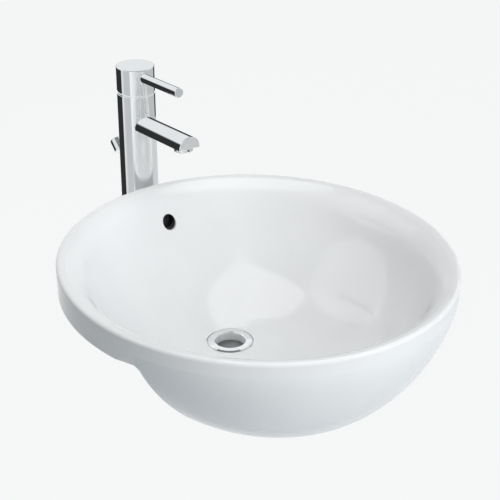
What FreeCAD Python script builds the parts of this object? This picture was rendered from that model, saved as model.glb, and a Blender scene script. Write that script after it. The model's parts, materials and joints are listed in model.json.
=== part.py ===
import FreeCAD, Part
import math
import os
import re
import Sketcher
from FreeCAD import Placement, Rotation, Vector

# Semi-recessed countertop basin with a single-lever mixer and a pop-up waste.
# Millimetres. The counter's top is z = 0, the rim's centre is x = y = 0, the front is -Y.

doc = FreeCAD.newDocument("countertop_basin")
sheet = doc.addObject("Spreadsheet::Sheet", "sizes")

SIZES = {
    # ceramic
    "rim_half_width": 235.0,
    "rim_half_depth": 250.0,
    "rim_top": 34.0,
    "band_bottom": 15.0,
    "apron_line": 91.0,
    "apron_drop": 147.4,
    "apron_lead": 39.0,
    "lip_outer_round": 4.0,
    "lip_inner_round": 14.0,
    "corner_round": 8.0,
    "skirt_slant": 26.0,
    "hollow_top": 21.0,
    "floor_drop": 114.0,
    "floor_wall": 18.0,
    "boss_thick": 32.0,
    "drain_back": 60.6,
    "drain_boss_radius": 38.0,
    "drain_clearance": 1.6,
    "recess_clearance": 1.0,
    "overflow_radius": 9.5,
    "overflow_drop": 5.0,
    "channel_width": 26.0,
    "rib_width": 48.0,
    "rib_proud": 20.0,
    "rib_top": 12.0,
    "channel_proud": 11.0,
    "channel_sunk": 2.5,
    "channel_top": 6.0,
    "ledge_margin": 3.0,
    "ledge_root_rise": 14.0,
    "ledge_top": 2.0,
    "ledge_thick": 14.0,
    "tap_hole_radius": 17.5,
    # waste
    "flange_radius": 29.0,
    "flange_proud": 1.4,
    "flange_thick": 2.4,
    "flange_seal_thick": 1.5,
    "waste_radius": 20.9,
    "waste_bore": 19.3,
    "seat_bore": 15.5,
    "waste_low_bore": 18.5,
    "waste_length": 65.4,
    "seat_drop": 15.4,
    "seat_thick": 3.0,
    "slot_width": 12.0,
    "slot_height": 8.0,
    "lower_seal_thick": 4.0,
    "washer_radius": 34.0,
    "washer_thick": 2.0,
    "lock_nut_corner": 32.0,
    "lock_nut_height": 10.0,
    "tail_radius": 20.0,
    "tail_bore": 17.0,
    "outlet_radius": 16.0,
    "outlet_bore": 14.5,
    "outlet_length": 34.0,
    "tail_seal_thick": 2.0,
    "tail_length": 26.0,
    "socket_depth": 14.0,
    "socket_wall": 4.1,
    "port_below": 12.0,
    "port_radius": 11.0,
    "port_bore": 5.8,
    "ball_radius": 7.5,
    "ball_clearance": 0.3,
    "ball_back": 32.0,
    "port_nut_hole": 5.4,
    "port_nut_wall": 2.5,
    "pivot_radius": 2.5,
    "pivot_reach": 130.0,
    "swing_clearance": 0.9,
    "eye_clearance": 1.2,
    "plug_clearance": 0.7,
    "neck_clearance": 0.9,
    "plug_stem": 4.5,
    "plug_dome": 2.4,
    # linkage
    "lift_behind": 13.0,
    "strap_top_drop": 52.0,
    "strap_bend_drop": 98.0,
    "strap_knee": 29.0,
    "lift_radius": 2.0,
    "lift_foot_drop": 98.0,
    "lift_bend": 21.2,
    "lift_arm": 60.0,
    "lift_arm_angle": 40.0,
    "knob_radius": 8.0,
    "knob_length": 18.0,
    "strap_width": 9.8,
    "strap_thick": 2.0,
    "thumb_radius": 4.8,
    # tap
    "tap_gap": 36.0,
    "tap_radius": 25.0,
    "tap_base": 3.5,
    "tap_top": 153.6,
    "chamber_depth": 28.6,
    "chamber_clearance": 0.45,
    "inlet_side": 9.5,
    "inlet_front": 2.0,
    "inlet_bore": 3.5,
    "inlet_thread": 4.6,
    "inlet_thread_depth": 14.0,
    "outlet_front": 10.0,
    "way_rise": 9.9,
    "way_radius": 4.0,
    "stud_front": 12.0,
    "stud_radius": 4.0,
    "stud_depth": 18.0,
    "stud_drop": 48.0,
    "base_margin": 1.0,
    "gasket_clearance": 0.3,
    "rod_slot_width": 6.4,
    "rod_slot_top": 50.0,
    "rod_notch_back": 23.0,
    "clamp_thick": 3.0,
    "stud_nut_corner": 7.5,
    "stud_nut_height": 7.0,
    "spout_width": 29.4,
    "spout_side": 2.0,
    "spout_length": 135.0,
    "spout_base": 107.6,
    "spout_rise": 4.6,
    "aerator_reach": 120.0,
    "aerator_radius": 12.0,
    "aerator_drop": 5.5,
    "aerator_lip": 1.2,
    "aerator_wall": 1.4,
    # cartridge and handle
    "housing_radius": 17.6,
    "housing_bore": 16.2,
    "housing_floor": 2.5,
    "port_seal_thick": 1.5,
    "disc_clearance": 0.1,
    "rotor_clearance": 0.4,
    "port_seal_radius": 5.2,
    "port_hole_radius": 3.4,
    "disc_thick": 4.0,
    "moving_disc_radius": 11.0,
    "rotor_neck": 13.7,
    "pin_up": 5.6,
    "pin_radius": 1.5,
    "pin_length": 30.0,
    "stem_side": 7.6,
    "stem_ball_drop": 6.8,
    "stem_ball": 2.2,
    "bonnet_bore": 14.0,
    "bonnet_margin": 1.4,
    "bonnet_flange_thick": 1.2,
    "bonnet_dome": 24.4,
    "cap_gap": 2.0,
    "cap_height": 34.8,
    "cap_wall": 2.3,
    "cap_slant": 3.9,
    "cap_roof": 6.4,
    "hub_radius": 9.0,
    "hub_up": 10.7,
    "stem_up": 25.4,
    "lever_radius": 6.0,
    "lever_end": 112.8,
    "lever_up": 22.0,
    "spigot_step": 2.0,
    "lever_rise": 4.3,
    "screw_radius": 2.5,
    "screw_up": 18.4,
}
FUNCTIONS = {"sin", "cos", "deg"}

# Sizes that follow from the others: what seats on, fits in or lines up with another piece.
DERIVED = {
    "under_drop": "floor_drop + floor_wall",
    "drain_boss_drop": "floor_drop + boss_thick",
    "drain_hole_radius": "waste_radius + drain_clearance",
    "drain_recess_radius": "flange_radius + recess_clearance",
    "flange_top_drop": "floor_drop - flange_proud",
    "port_drop": "flange_top_drop + waste_length + tail_seal_thick + port_below",
    "tail_socket_radius": "waste_radius + socket_wall",
    "ball_socket": "ball_radius + ball_clearance",
    "port_nut_radius": "port_radius + port_nut_wall",
    "plug_radius": "waste_bore - plug_clearance",
    "plug_neck": "seat_bore - neck_clearance",
    "eye_radius": "pivot_radius + eye_clearance",
    "strap_hole": "pivot_radius + swing_clearance",
    "clip_hole": "pivot_radius + swing_clearance",
    "tap_back": "rim_half_depth + tap_gap",
    "lift_back": "tap_back + lift_behind",
    "ledge_radius": "tap_radius + ledge_margin",
    "gasket_bore": "tap_hole_radius + gasket_clearance",
    "gasket_radius": "tap_radius - base_margin",
    "clamp_radius": "tap_radius - base_margin",
    "way_height": "spout_base + way_rise",
    "aerator_thread": "aerator_radius - aerator_lip",
    "aerator_bore": "aerator_thread - aerator_wall",
    "chamber_floor": "tap_top - chamber_depth",
    "chamber_radius": "housing_radius + chamber_clearance",
    "fixed_disc_radius": "housing_bore - disc_clearance",
    "rotor_radius": "housing_bore - rotor_clearance",
    "pivot_height": "chamber_floor + port_seal_thick + housing_floor + 2 * disc_thick + pin_up",
    "bonnet_flange": "tap_radius - bonnet_margin",
    "cap_radius": "tap_radius",
    "cap_bore": "cap_radius - cap_wall",
    "cap_bottom": "tap_top + cap_gap",
    "cap_top": "cap_bottom + cap_height",
    "hub_bottom": "cap_bottom + hub_up",
    "stem_top": "cap_bottom + stem_up",
    "lever_axis": "cap_bottom + lever_up",
    "screw_height": "cap_bottom + screw_up",
    "spigot_radius": "lever_radius - spigot_step",
}

for row, (alias, number) in enumerate(SIZES.items(), start=1):
    sheet.set(f"A{row}", alias)
    sheet.set(f"B{row}", str(number))
    sheet.setAlias(f"B{row}", alias)
doc.recompute()


def spelled(match):
    """One word of an expression: a function, a size in the sheet, or a derived size written out."""
    word = match.group(0)
    if word in FUNCTIONS:
        return word
    if word in DERIVED:
        return f"({named(DERIVED[word])})"
    return f"sizes.{word}"


def named(text):
    """The expression with every word that is a size pointed at the sheet."""
    return re.sub(r"[a-z][a-z_]+", spelled, str(text))


def value(text):
    """The number that an expression in the sizes has now."""
    return float(sheet.evalExpression(named(text)))


def bind(thing, prop, text):
    """Drives a property by an expression in the sizes."""
    thing.setExpression(prop, named(text))


def place(thing, where, turn=None):
    """Puts a piece at a point given by three expressions, turned about X by a fixed angle."""
    if turn is not None:
        thing.Placement = Placement(Vector(0, 0, 0), Rotation(Vector(1, 0, 0), turn))
    for axis, text in zip("xyz", where):
        bind(thing, f"Placement.Base.{axis}", text)
    return thing


def new_body(label, where, turn=None):
    body = doc.addObject("PartDesign::Body", label)
    body.Label = label
    return place(body, where, turn)


def new_sketch(body, role, lift="0"):
    """A sketch on one of the body's own origin planes, moved along its normal."""
    sketch = body.newObject("Sketcher::SketchObject", body.Name + "_sketch")
    face = [item for item in body.Origin.OriginFeatures if item.Role == role][0]
    sketch.AttachmentSupport = [(face, "")]
    sketch.MapMode = "FlatFace"
    bind(sketch, "AttachmentOffset.Base.z", lift)
    return sketch


def fix(sketch, item, point, kind, text):
    """Holds one coordinate of a sketch point at an expression."""
    number = value(text)
    axis = {"DistanceX": -2, "DistanceY": -1}[kind]
    if abs(number) < 1e-9:
        sketch.addConstraint(Sketcher.Constraint("PointOnObject", item, point, axis))
        return
    if number > 0:
        rule = sketch.addConstraint(Sketcher.Constraint(kind, -1, 1, item, point, number))
        bind(sketch, f"Constraints[{rule}]", text)
    else:
        rule = sketch.addConstraint(Sketcher.Constraint(kind, item, point, -1, 1, -number))
        bind(sketch, f"Constraints[{rule}]", f"-({text})")


def polygon(sketch, points):
    """A closed outline of straight lines through points given as expressions."""
    corners = [Vector(value(across), value(up), 0) for across, up in points]
    start = sketch.GeometryCount
    count = len(corners)
    for index in range(count):
        sketch.addGeometry(Part.LineSegment(corners[index], corners[(index + 1) % count]))
    for index in range(count):
        following = start + (index + 1) % count
        sketch.addConstraint(Sketcher.Constraint("Coincident", start + index, 2, following, 1))
    for index, (across, up) in enumerate(points):
        fix(sketch, start + index, 1, "DistanceX", across)
        fix(sketch, start + index, 1, "DistanceY", up)


def circle(sketch, across, up, radius):
    item = sketch.addGeometry(
        Part.Circle(Vector(value(across), value(up), 0), Vector(0, 0, 1), value(radius))
    )
    fix(sketch, item, 3, "DistanceX", across)
    fix(sketch, item, 3, "DistanceY", up)
    rule = sketch.addConstraint(Sketcher.Constraint("Radius", item, value(radius)))
    bind(sketch, f"Constraints[{rule}]", radius)


def rectangle(sketch, left, right, low, high):
    polygon(sketch, [(left, low), (right, low), (right, high), (left, high)])


def revolve(body, profile):
    """A turned solid about the body's Z axis from a closed outline of (radius, height)."""
    sketch = new_sketch(body, "XZ_Plane")
    polygon(sketch, profile)
    turned_solid = body.newObject("PartDesign::Revolution", body.Name + "_turned")
    turned_solid.Profile = sketch
    turned_solid.ReferenceAxis = (sketch, ["V_Axis"])
    turned_solid.Angle = 360.0
    doc.recompute()
    return turned_solid


def turned(label, where, profile, turn=None):
    body = new_body(label, where, turn)
    revolve(body, profile)
    return body


def pad(body, sketch, length, both=False, backward=False):
    solid = body.newObject("PartDesign::Pad", body.Name + "_pad")
    solid.Profile = sketch
    bind(solid, "Length", length)
    solid.SideType = "Symmetric" if both else "One side"
    solid.Reversed = backward
    doc.recompute()
    return solid


def pocket(body, sketch, length=None, both=False, forward=False):
    """Cuts the sketch out of the body; with no length the cut goes right through."""
    before = body.Shape.Volume
    cut = body.newObject("PartDesign::Pocket", body.Name + "_pocket")
    cut.Profile = sketch
    if length is None:
        cut.Type = "ThroughAll"
    else:
        bind(cut, "Length", length)
    cut.SideType = "Symmetric" if both else "One side"
    cut.Reversed = forward
    doc.recompute()
    if body.Shape.Volume > before - 1e-3:
        raise RuntimeError(f"{body.Label}: a pocket removes nothing")
    return cut


def hexagon(sketch, corner):
    polygon(
        sketch,
        [
            (f"{corner} * {math.cos(math.radians(angle)):.6f}", f"{corner} * {math.sin(math.radians(angle)):.6f}")
            for angle in range(0, 360, 60)
        ],
    )


def cylinder(name, radius, height, where, turn=None):
    solid = doc.addObject("Part::Cylinder", name)
    bind(solid, "Radius", radius)
    bind(solid, "Height", height)
    return place(solid, where, turn)


def box(name, length, width, height, where):
    solid = doc.addObject("Part::Box", name)
    bind(solid, "Length", length)
    bind(solid, "Width", width)
    bind(solid, "Height", height)
    return place(solid, where)


def joined(name, solids):
    fused = doc.addObject("Part::MultiFuse", name)
    fused.Shapes = solids
    doc.recompute()
    return fused


def minus(name, base, tool):
    cut = doc.addObject("Part::Cut", name)
    cut.Base = base
    cut.Tool = tool
    doc.recompute()
    if cut.Shape.Volume > base.Shape.Volume - 1e-3:
        raise RuntimeError(f"{name}: a cut removes nothing")
    return cut


def shared(name, solids):
    common = doc.addObject("Part::MultiCommon", name)
    common.Shapes = solids
    doc.recompute()
    return common


# The bowl's level ovals. Each starts at its rear point, whichever of its half sizes is the longer, so
# that the lofts don't twist.
def oval(name, half_width, half_depth, back, height):
    ring = doc.addObject("Part::Ellipse", name)
    if value(half_depth) >= value(half_width):
        ring.Placement = Placement(Vector(0, 0, 0), Rotation(Vector(0, 0, 1), 90))
        bind(ring, "MajorRadius", half_depth)
        bind(ring, "MinorRadius", half_width)
    else:
        ring.Angle1 = 90
        ring.Angle2 = 90
        bind(ring, "MajorRadius", half_width)
        bind(ring, "MinorRadius", half_depth)
    bind(ring, "Placement.Base.y", back)
    bind(ring, "Placement.Base.z", height)
    return ring


def bowl(name, rings):
    loft = doc.addObject("Part::Loft", name)
    loft.Sections = rings
    loft.Solid = True
    loft.Ruled = False
    doc.recompute()
    return loft


def oval_block(name, low, high):
    """An upright block with the rim's outline."""
    block = doc.addObject("Part::Extrusion", name)
    block.Base = oval(name + "_outline", "rim_half_width", "rim_half_depth", "0", low)
    block.DirMode = "Custom"
    block.Dir = Vector(0, 0, 1)
    block.Solid = True
    bind(block, "LengthFwd", f"{high} - ({low})")
    doc.recompute()
    return block


# The front apron: a full bowl whose section shrinks with depth and leans forward.
APRON_STEPS = (0, 10, 20, 30, 40, 50, 60, 70, 79, 85)
APRON_DEPTH_POWER = 2 / 1.25
APRON_REACH_POWER = 2 / 2.411
apron_rings = []
for step in APRON_STEPS:
    depth = math.sin(math.radians(step)) ** APRON_DEPTH_POWER
    reach = math.cos(math.radians(step)) ** APRON_REACH_POWER
    apron_rings.append(
        oval(
            f"apron_ring_{step}",
            f"rim_half_width * {reach:.5f}",
            f"rim_half_depth * {reach:.5f}",
            f"-apron_lead * {depth:.5f}",
            f"band_bottom - (band_bottom + apron_drop) * {depth:.5f}",
        )
    )
full_apron = bowl("full_apron", apron_rings)
counter_space = box(
    "counter_space",
    "4 * rim_half_width",
    "2 * rim_half_depth",
    "2 * apron_drop",
    ("-2 * rim_half_width", "-apron_line", "band_bottom - 2 * apron_drop"),
)
apron = minus("apron", full_apron, counter_space)

# The band under the lip, and the skirt that stands on the counter behind the apron.
lip_band = oval_block("lip_band", "band_bottom", "rim_top")
skirt_block = oval_block("skirt_block", "0", "band_bottom")
skirt_space = box(
    "skirt_space",
    "4 * rim_half_width",
    "3 * rim_half_depth",
    "band_bottom",
    ("-2 * rim_half_width", "-apron_line", "0"),
)
skirt_full = shared("skirt_full", [skirt_block, skirt_space])


def half_across(reach, lead, back):
    """Half the width of the rim's oval, shrunk to a share and led forward, at a place along its depth."""
    along = (back + lead) / (value("rim_half_depth") * reach)
    return value("rim_half_width") * reach * math.sqrt(1 - along * along)


def skirt_shave(name, side, uncut):
    """The skirt's front end, shaved to a slant so that it runs out into the narrower apron."""
    share = value("band_bottom") / (value("band_bottom") + value("apron_drop"))
    reach = math.cos(math.asin(share ** (1 / APRON_DEPTH_POWER))) ** APRON_REACH_POWER
    front = -value("apron_line")
    back = front + value("skirt_slant")
    foot = Vector(side * half_across(reach, value("apron_lead") * share, front), front, 0)
    top = Vector(side * half_across(1, 0, front), front, value("band_bottom"))
    along = (Vector(side * half_across(1, 0, back), back, 0) - foot).normalize()
    outward = (along.cross(top - foot) * side).normalize()
    up = outward.cross(along)
    block = doc.addObject("Part::Box", name + "_block")
    bind(block, "Length", "4 * skirt_slant")
    bind(block, "Width", "4 * skirt_slant")
    bind(block, "Height", "skirt_slant")
    start = foot - along * value("skirt_slant") - up * (2 * value("skirt_slant"))
    block.Placement = Placement(start, Rotation(along, up, outward, "XYZ"))
    return minus(name, uncut, block)


skirt = skirt_shave("skirt", 1, skirt_shave("skirt_left", -1, skirt_full))

# The rounded inner corner between the skirt's underside and the apron's back.
corner_block = box(
    "corner_block",
    "4 * rim_half_width",
    "corner_round",
    "corner_round",
    ("-2 * rim_half_width", "-apron_line", "-corner_round"),
)
corner_tool = cylinder(
    "corner_tool",
    "corner_round",
    "6 * rim_half_width",
    ("-3 * rim_half_width", "-apron_line + corner_round", "-corner_round"),
)
corner_tool.Placement = Placement(corner_tool.Placement.Base, Rotation(Vector(0, 1, 0), 90))
corner_bar = minus("corner_bar", corner_block, corner_tool)
corner = shared("corner", [corner_bar, full_apron])

# Level sections of the hollow: depth, half width, front and rear as shares of the outer sizes.
HOLLOW = (
    (-0.1111, 0.9810, 0.9830, 0.9830),
    (-0.0822, 0.9500, 0.9530, 0.9530),
    (0.0000, 0.8920, 0.8990, 0.8970),
    (0.1030, 0.8555, 0.8720, 0.8620),
    (0.1926, 0.8340, 0.8520, 0.8320),
    (0.3556, 0.7880, 0.8240, 0.7720),
    (0.5407, 0.7150, 0.7840, 0.6800),
    (0.7259, 0.6200, 0.7200, 0.5800),
    (0.8593, 0.5000, 0.6320, 0.4880),
    (0.9333, 0.4000, 0.5000, 0.4280),
    (0.9704, 0.3000, 0.3400, 0.3920),
    (0.9886, 0.2350, 0.1800, 0.3720),
    (0.9972, 0.1780, 0.0300, 0.3630),
    (1.0000, 0.1250, -0.1160, 0.3600),
)
hollow_rings = []
for index, (depth, width, front, rear) in enumerate(HOLLOW):
    hollow_rings.append(
        oval(
            f"hollow_ring_{index}",
            f"rim_half_width * {width}",
            f"rim_half_depth * {(front + rear) / 2:.5f}",
            f"rim_half_depth * {(rear - front) / 2:.5f}",
            f"hollow_top - (hollow_top + floor_drop) * {depth}",
        )
    )
hollow = bowl("hollow", hollow_rings)

# The shell of the bowl below the counter, a wall's thickness outside the hollow.
UNDER = (
    (-0.0758, 0.9106, 0.9160, 0.9160),
    (0.1288, 0.8638, 0.8840, 0.8640),
    (0.2955, 0.8020, 0.8560, 0.8040),
    (0.4848, 0.7170, 0.8120, 0.7160),
    (0.6742, 0.6128, 0.7360, 0.6120),
    (0.8182, 0.4979, 0.6400, 0.5320),
    (0.9015, 0.4040, 0.5000, 0.4720),
    (0.9545, 0.3064, 0.3200, 0.4320),
    (0.9800, 0.2420, 0.1600, 0.4160),
    (0.9940, 0.1920, 0.0250, 0.4040),
    (1.0000, 0.1450, -0.0960, 0.3960),
)
under_rings = []
for index, (depth, width, front, rear) in enumerate(UNDER):
    under_rings.append(
        oval(
            f"under_ring_{index}",
            f"rim_half_width * {width}",
            f"rim_half_depth * {(front + rear) / 2:.5f}",
            f"rim_half_depth * {(rear - front) / 2:.5f}",
            f"-under_drop * {depth}",
        )
    )
under_bowl = bowl("under_bowl", under_rings)
drain_boss = cylinder(
    "drain_boss",
    "drain_boss_radius",
    "drain_boss_drop - floor_drop",
    ("0", "drain_back", "-drain_boss_drop"),
)

# The rib down the back of the bowl that carries the overflow channel to the drain.
RIB_ROWS = UNDER[1:8]
rib_line = [
    (f"rim_half_depth * {rear} + rib_proud", f"-under_drop * {depth}") for depth, _, _, rear in RIB_ROWS
]
rib = new_body("rib", ("0", "0", "0"))
rib_sketch = new_sketch(rib, "YZ_Plane")
polygon(
    rib_sketch,
    [
        ("rim_half_depth - 40", "rib_top"),
        ("rim_half_depth - 6", "rib_top"),
        ("rim_half_depth - 6", "0"),
    ]
    + rib_line
    + [
        ("drain_back + drain_boss_radius + 4", "-drain_boss_drop"),
        ("drain_back + drain_boss_radius - 8", "-drain_boss_drop"),
        ("drain_back + drain_boss_radius - 8", "-floor_drop - 4"),
    ],
)
pad(rib, rib_sketch, "rib_width", both=True)
channel_back = [
    (f"rim_half_depth * {rear} + channel_proud", f"-under_drop * {depth}") for depth, _, _, rear in RIB_ROWS
]
channel_front = [
    (f"rim_half_depth * {rear} - channel_sunk", f"-under_drop * {depth}")
    for depth, _, _, rear in RIB_ROWS[:-1]
]
channel = new_body("channel", ("0", "0", "0"))
channel_sketch = new_sketch(channel, "YZ_Plane")
polygon(
    channel_sketch,
    [
        ("rim_half_depth - 28.5", "channel_top"),
        ("rim_half_depth - 15", "channel_top"),
        ("rim_half_depth - 15", "0"),
    ]
    + channel_back
    + [
        ("drain_back + drain_boss_radius + 4", "-drain_boss_drop + 8"),
        ("drain_back + drain_hole_radius - 2.5", "-drain_boss_drop + 4"),
        ("drain_back + drain_hole_radius - 2.5", "-floor_drop - 15"),
        ("drain_back + drain_boss_radius + 2", "-floor_drop - 8"),
    ]
    + channel_front[::-1],
)
pad(channel, channel_sketch, "channel_width", both=True)

# The ledge behind the rim that carries the tap, and the root that joins it to the skirt.
ledge_root = new_body("ledge_root", ("0", "0", "0"))
root_sketch = new_sketch(ledge_root, "YZ_Plane")
polygon(
    root_sketch,
    [
        ("rim_half_depth - 10", "0.5"),
        ("rim_half_depth + 10", "0.5"),
        ("rim_half_depth + 10", "ledge_top"),
        ("rim_half_depth", "ledge_top + ledge_root_rise"),
        ("rim_half_depth - 10", "ledge_top + ledge_root_rise"),
    ],
)
pad(ledge_root, root_sketch, "2 * ledge_radius", both=True)
ledge_tongue = box(
    "ledge_tongue",
    "2 * ledge_radius",
    "tap_back - rim_half_depth - 1",
    "ledge_thick",
    ("-ledge_radius", "rim_half_depth + 1", "ledge_top - ledge_thick"),
)
ledge_end = cylinder(
    "ledge_end", "ledge_radius", "ledge_thick", ("0", "tap_back", "ledge_top - ledge_thick")
)

ceramic = joined(
    "ceramic",
    [lip_band, skirt, apron, corner, under_bowl, drain_boss, rib, ledge_root, ledge_tongue, ledge_end],
)
drain_hole = cylinder(
    "drain_hole",
    "drain_hole_radius",
    "2 * (drain_boss_drop - floor_drop)",
    ("0", "drain_back", "-drain_boss_drop - 10"),
)
drain_recess = cylinder(
    "drain_recess",
    "drain_recess_radius",
    "20",
    ("0", "drain_back", "-flange_top_drop - flange_thick - flange_seal_thick"),
)
overflow_hole = cylinder(
    "overflow_hole", "overflow_radius", "34", ("0", "rim_half_depth - 60", "-overflow_drop"), turn=-90
)
tap_hole = cylinder(
    "tap_hole", "tap_hole_radius", "4 * ledge_thick", ("0", "tap_back", "-2 * ledge_thick")
)
rod_notch = box(
    "rod_notch",
    "rod_slot_width",
    "rod_notch_back",
    "4 * ledge_thick",
    ("-rod_slot_width / 2", "tap_back", "-2 * ledge_thick"),
)
openings = joined(
    "openings", [hollow, drain_hole, drain_recess, overflow_hole, tap_hole, rod_notch, channel]
)
carved = minus("carved", ceramic, openings)


def top_edges(shape, height):
    """Numbers of the edges that lie level at one height, outermost first."""
    found = []
    for index, edge in enumerate(shape.Edges, start=1):
        limits = edge.BoundBox
        if abs(limits.ZMin - height) < 1e-3 and abs(limits.ZMax - height) < 1e-3:
            found.append((-limits.XLength, index))
    return [index for _, index in sorted(found)]


basin_bowl = doc.addObject("Part::Fillet", "basin_bowl")
basin_bowl.Base = carved
rim_edges = top_edges(carved.Shape, value("rim_top"))
basin_bowl.Edges = [
    (rim_edges[0], value("lip_outer_round"), value("lip_outer_round")),
    (rim_edges[1], value("lip_inner_round"), value("lip_inner_round")),
]
doc.recompute()

# The waste through the basin's floor.
WASTE_FOOT = "-flange_top_drop - waste_length"
waste_body = turned(
    "waste_body",
    ("0", "drain_back", WASTE_FOOT),
    [
        ("waste_low_bore", "0"),
        ("waste_radius", "0"),
        ("waste_radius", "waste_length - flange_thick"),
        ("flange_radius", "waste_length - flange_thick"),
        ("flange_radius", "waste_length - 1.4"),
        ("flange_radius - 1.8", "waste_length"),
        ("waste_bore + 1.2", "waste_length"),
        ("waste_bore", "waste_length - 1.2"),
        ("waste_bore", "waste_length - seat_drop"),
        ("seat_bore", "waste_length - seat_drop"),
        ("seat_bore", "waste_length - seat_drop - seat_thick"),
        ("waste_low_bore", "waste_length - seat_drop - seat_thick"),
    ],
)
SLOT_TOP = "waste_length - seat_drop - seat_thick - 3"
for role in ("XZ_Plane", "YZ_Plane"):
    slot_sketch = new_sketch(waste_body, role)
    rectangle(
        slot_sketch,
        "-slot_width / 2",
        "slot_width / 2",
        f"{SLOT_TOP} - slot_height",
        SLOT_TOP,
    )
    pocket(waste_body, slot_sketch, "4 * waste_radius", both=True)
waste_flange_seal = turned(
    "waste_flange_seal",
    ("0", "drain_back", "-flange_top_drop - flange_thick - flange_seal_thick"),
    [
        ("waste_radius", "0"),
        ("flange_radius - 0.6", "0"),
        ("flange_radius - 0.6", "flange_seal_thick"),
        ("waste_radius", "flange_seal_thick"),
    ],
)
waste_lower_seal = turned(
    "waste_lower_seal",
    ("0", "drain_back", "-drain_boss_drop - lower_seal_thick"),
    [
        ("waste_radius", "0"),
        ("washer_radius", "0"),
        ("washer_radius - 1", "lower_seal_thick"),
        ("waste_radius", "lower_seal_thick"),
    ],
)
waste_washer = turned(
    "waste_washer",
    ("0", "drain_back", "-drain_boss_drop - lower_seal_thick - washer_thick"),
    [
        ("waste_radius", "0"),
        ("washer_radius", "0"),
        ("washer_radius", "washer_thick"),
        ("waste_radius", "washer_thick"),
    ],
)
waste_lock_nut = new_body(
    "waste_lock_nut",
    ("0", "drain_back", "-drain_boss_drop - lower_seal_thick - washer_thick - lock_nut_height"),
)
lock_nut_sketch = new_sketch(waste_lock_nut, "XY_Plane")
hexagon(lock_nut_sketch, "lock_nut_corner")
circle(lock_nut_sketch, "0", "0", "waste_radius")
pad(waste_lock_nut, lock_nut_sketch, "lock_nut_height")

# The tail with the side port for the pivot rod.
TAIL_FOOT = "-flange_top_drop - waste_length - tail_seal_thick - tail_length - outlet_length"
PORT_UP = f"-port_drop - ({TAIL_FOOT})"
waste_tail = turned(
    "waste_tail",
    ("0", "drain_back", TAIL_FOOT),
    [
        ("outlet_bore", "0"),
        ("outlet_radius", "0"),
        ("outlet_radius", "outlet_length"),
        ("tail_radius", "outlet_length + 4"),
        ("tail_radius", "outlet_length + tail_length - 2"),
        ("tail_socket_radius", "outlet_length + tail_length"),
        ("tail_socket_radius", "outlet_length + tail_length + socket_depth"),
        ("waste_radius", "outlet_length + tail_length + socket_depth"),
        ("waste_radius", "outlet_length + tail_length"),
        ("tail_bore", "outlet_length + tail_length"),
        ("tail_bore", "outlet_length + 6"),
        ("outlet_bore", "outlet_length + 2"),
    ],
)
port_sketch = new_sketch(waste_tail, "XZ_Plane", "-14")
circle(port_sketch, "0", PORT_UP, "port_radius")
pad(waste_tail, port_sketch, "ball_back + 7.9 - 14", backward=True)
bore_sketch = new_sketch(waste_tail, "XY_Plane", "outlet_length + tail_length")
circle(bore_sketch, "0", "0", "tail_bore")
pocket(waste_tail, bore_sketch, "tail_length - 6")
ball_sketch = new_sketch(waste_tail, "XZ_Plane", "-ball_back + 8")
circle(ball_sketch, "0", PORT_UP, "ball_socket")
pocket(waste_tail, ball_sketch, "20")
arm_sketch = new_sketch(waste_tail, "XZ_Plane", "-10")
circle(arm_sketch, "0", PORT_UP, "port_bore")
pocket(waste_tail, arm_sketch, "20")
tail_seal = turned(
    "tail_seal",
    ("0", "drain_back", "-flange_top_drop - waste_length - tail_seal_thick"),
    [
        ("tail_bore", "0"),
        ("waste_radius", "0"),
        ("waste_radius", "tail_seal_thick"),
        ("tail_bore", "tail_seal_thick"),
    ],
)

# The pivot rod, its ball and the parts that hold the ball in the port.
BALL_Y = "drain_back + ball_back"
pivot_bar = cylinder(
    "pivot_bar",
    "pivot_radius",
    "ball_back + pivot_reach + 16",
    ("0", "drain_back - 6", "-port_drop"),
    turn=-90,
)
pivot_ball = doc.addObject("Part::Sphere", "pivot_ball")
bind(pivot_ball, "Radius", "ball_radius")
place(pivot_ball, ("0", BALL_Y, "-port_drop"))
pivot_rod = joined("pivot_rod", [pivot_bar, pivot_ball])
pivot_seal = turned(
    "pivot_seal",
    ("0", f"{BALL_Y} - 8", "-port_drop"),
    [
        ("port_bore + 0.1", "0"),
        ("ball_socket", "0"),
        ("ball_socket", "3"),
        ("port_bore + 0.1", "3"),
    ],
    turn=-90,
)
pivot_nut = turned(
    "pivot_nut",
    ("0", f"{BALL_Y} - 3", "-port_drop"),
    [
        ("port_radius", "0"),
        ("port_nut_radius", "0"),
        ("port_nut_radius", "13"),
        ("port_nut_radius - 1", "14"),
        ("port_nut_hole", "14"),
        ("port_nut_hole", "10.9"),
        ("port_radius", "10.9"),
    ],
    turn=-90,
)

# The plug, lifted by the pivot rod through the eye at the foot of its stem.
PLUG_FOOT = "-port_drop - 11"
HEAD = f"-flange_top_drop - seat_drop + 2 - ({PLUG_FOOT})"
waste_plug = turned(
    "waste_plug",
    ("0", "drain_back", PLUG_FOOT),
    [
        ("0", "18"),
        ("plug_stem", "18"),
        ("plug_stem", f"{HEAD} - 10"),
        ("plug_neck", f"{HEAD} - 6"),
        ("plug_neck", HEAD),
        ("plug_radius", HEAD),
        ("plug_radius", f"{HEAD} + 2"),
        ("plug_radius - 1", f"{HEAD} + 2 + plug_dome * 0.35"),
        ("plug_radius * 0.7", f"{HEAD} + 2 + plug_dome * 0.7"),
        ("plug_radius * 0.36", f"{HEAD} + 2 + plug_dome * 0.93"),
        ("0", f"{HEAD} + 2 + plug_dome"),
    ],
)
eye_block_sketch = new_sketch(waste_plug, "XY_Plane")
rectangle(eye_block_sketch, "-7", "7", "-4", "4")
pad(waste_plug, eye_block_sketch, "22")
eye_sketch = new_sketch(waste_plug, "XZ_Plane")
circle(eye_sketch, "0", "11", "eye_radius")
pocket(waste_plug, eye_sketch, "40", both=True)
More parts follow.
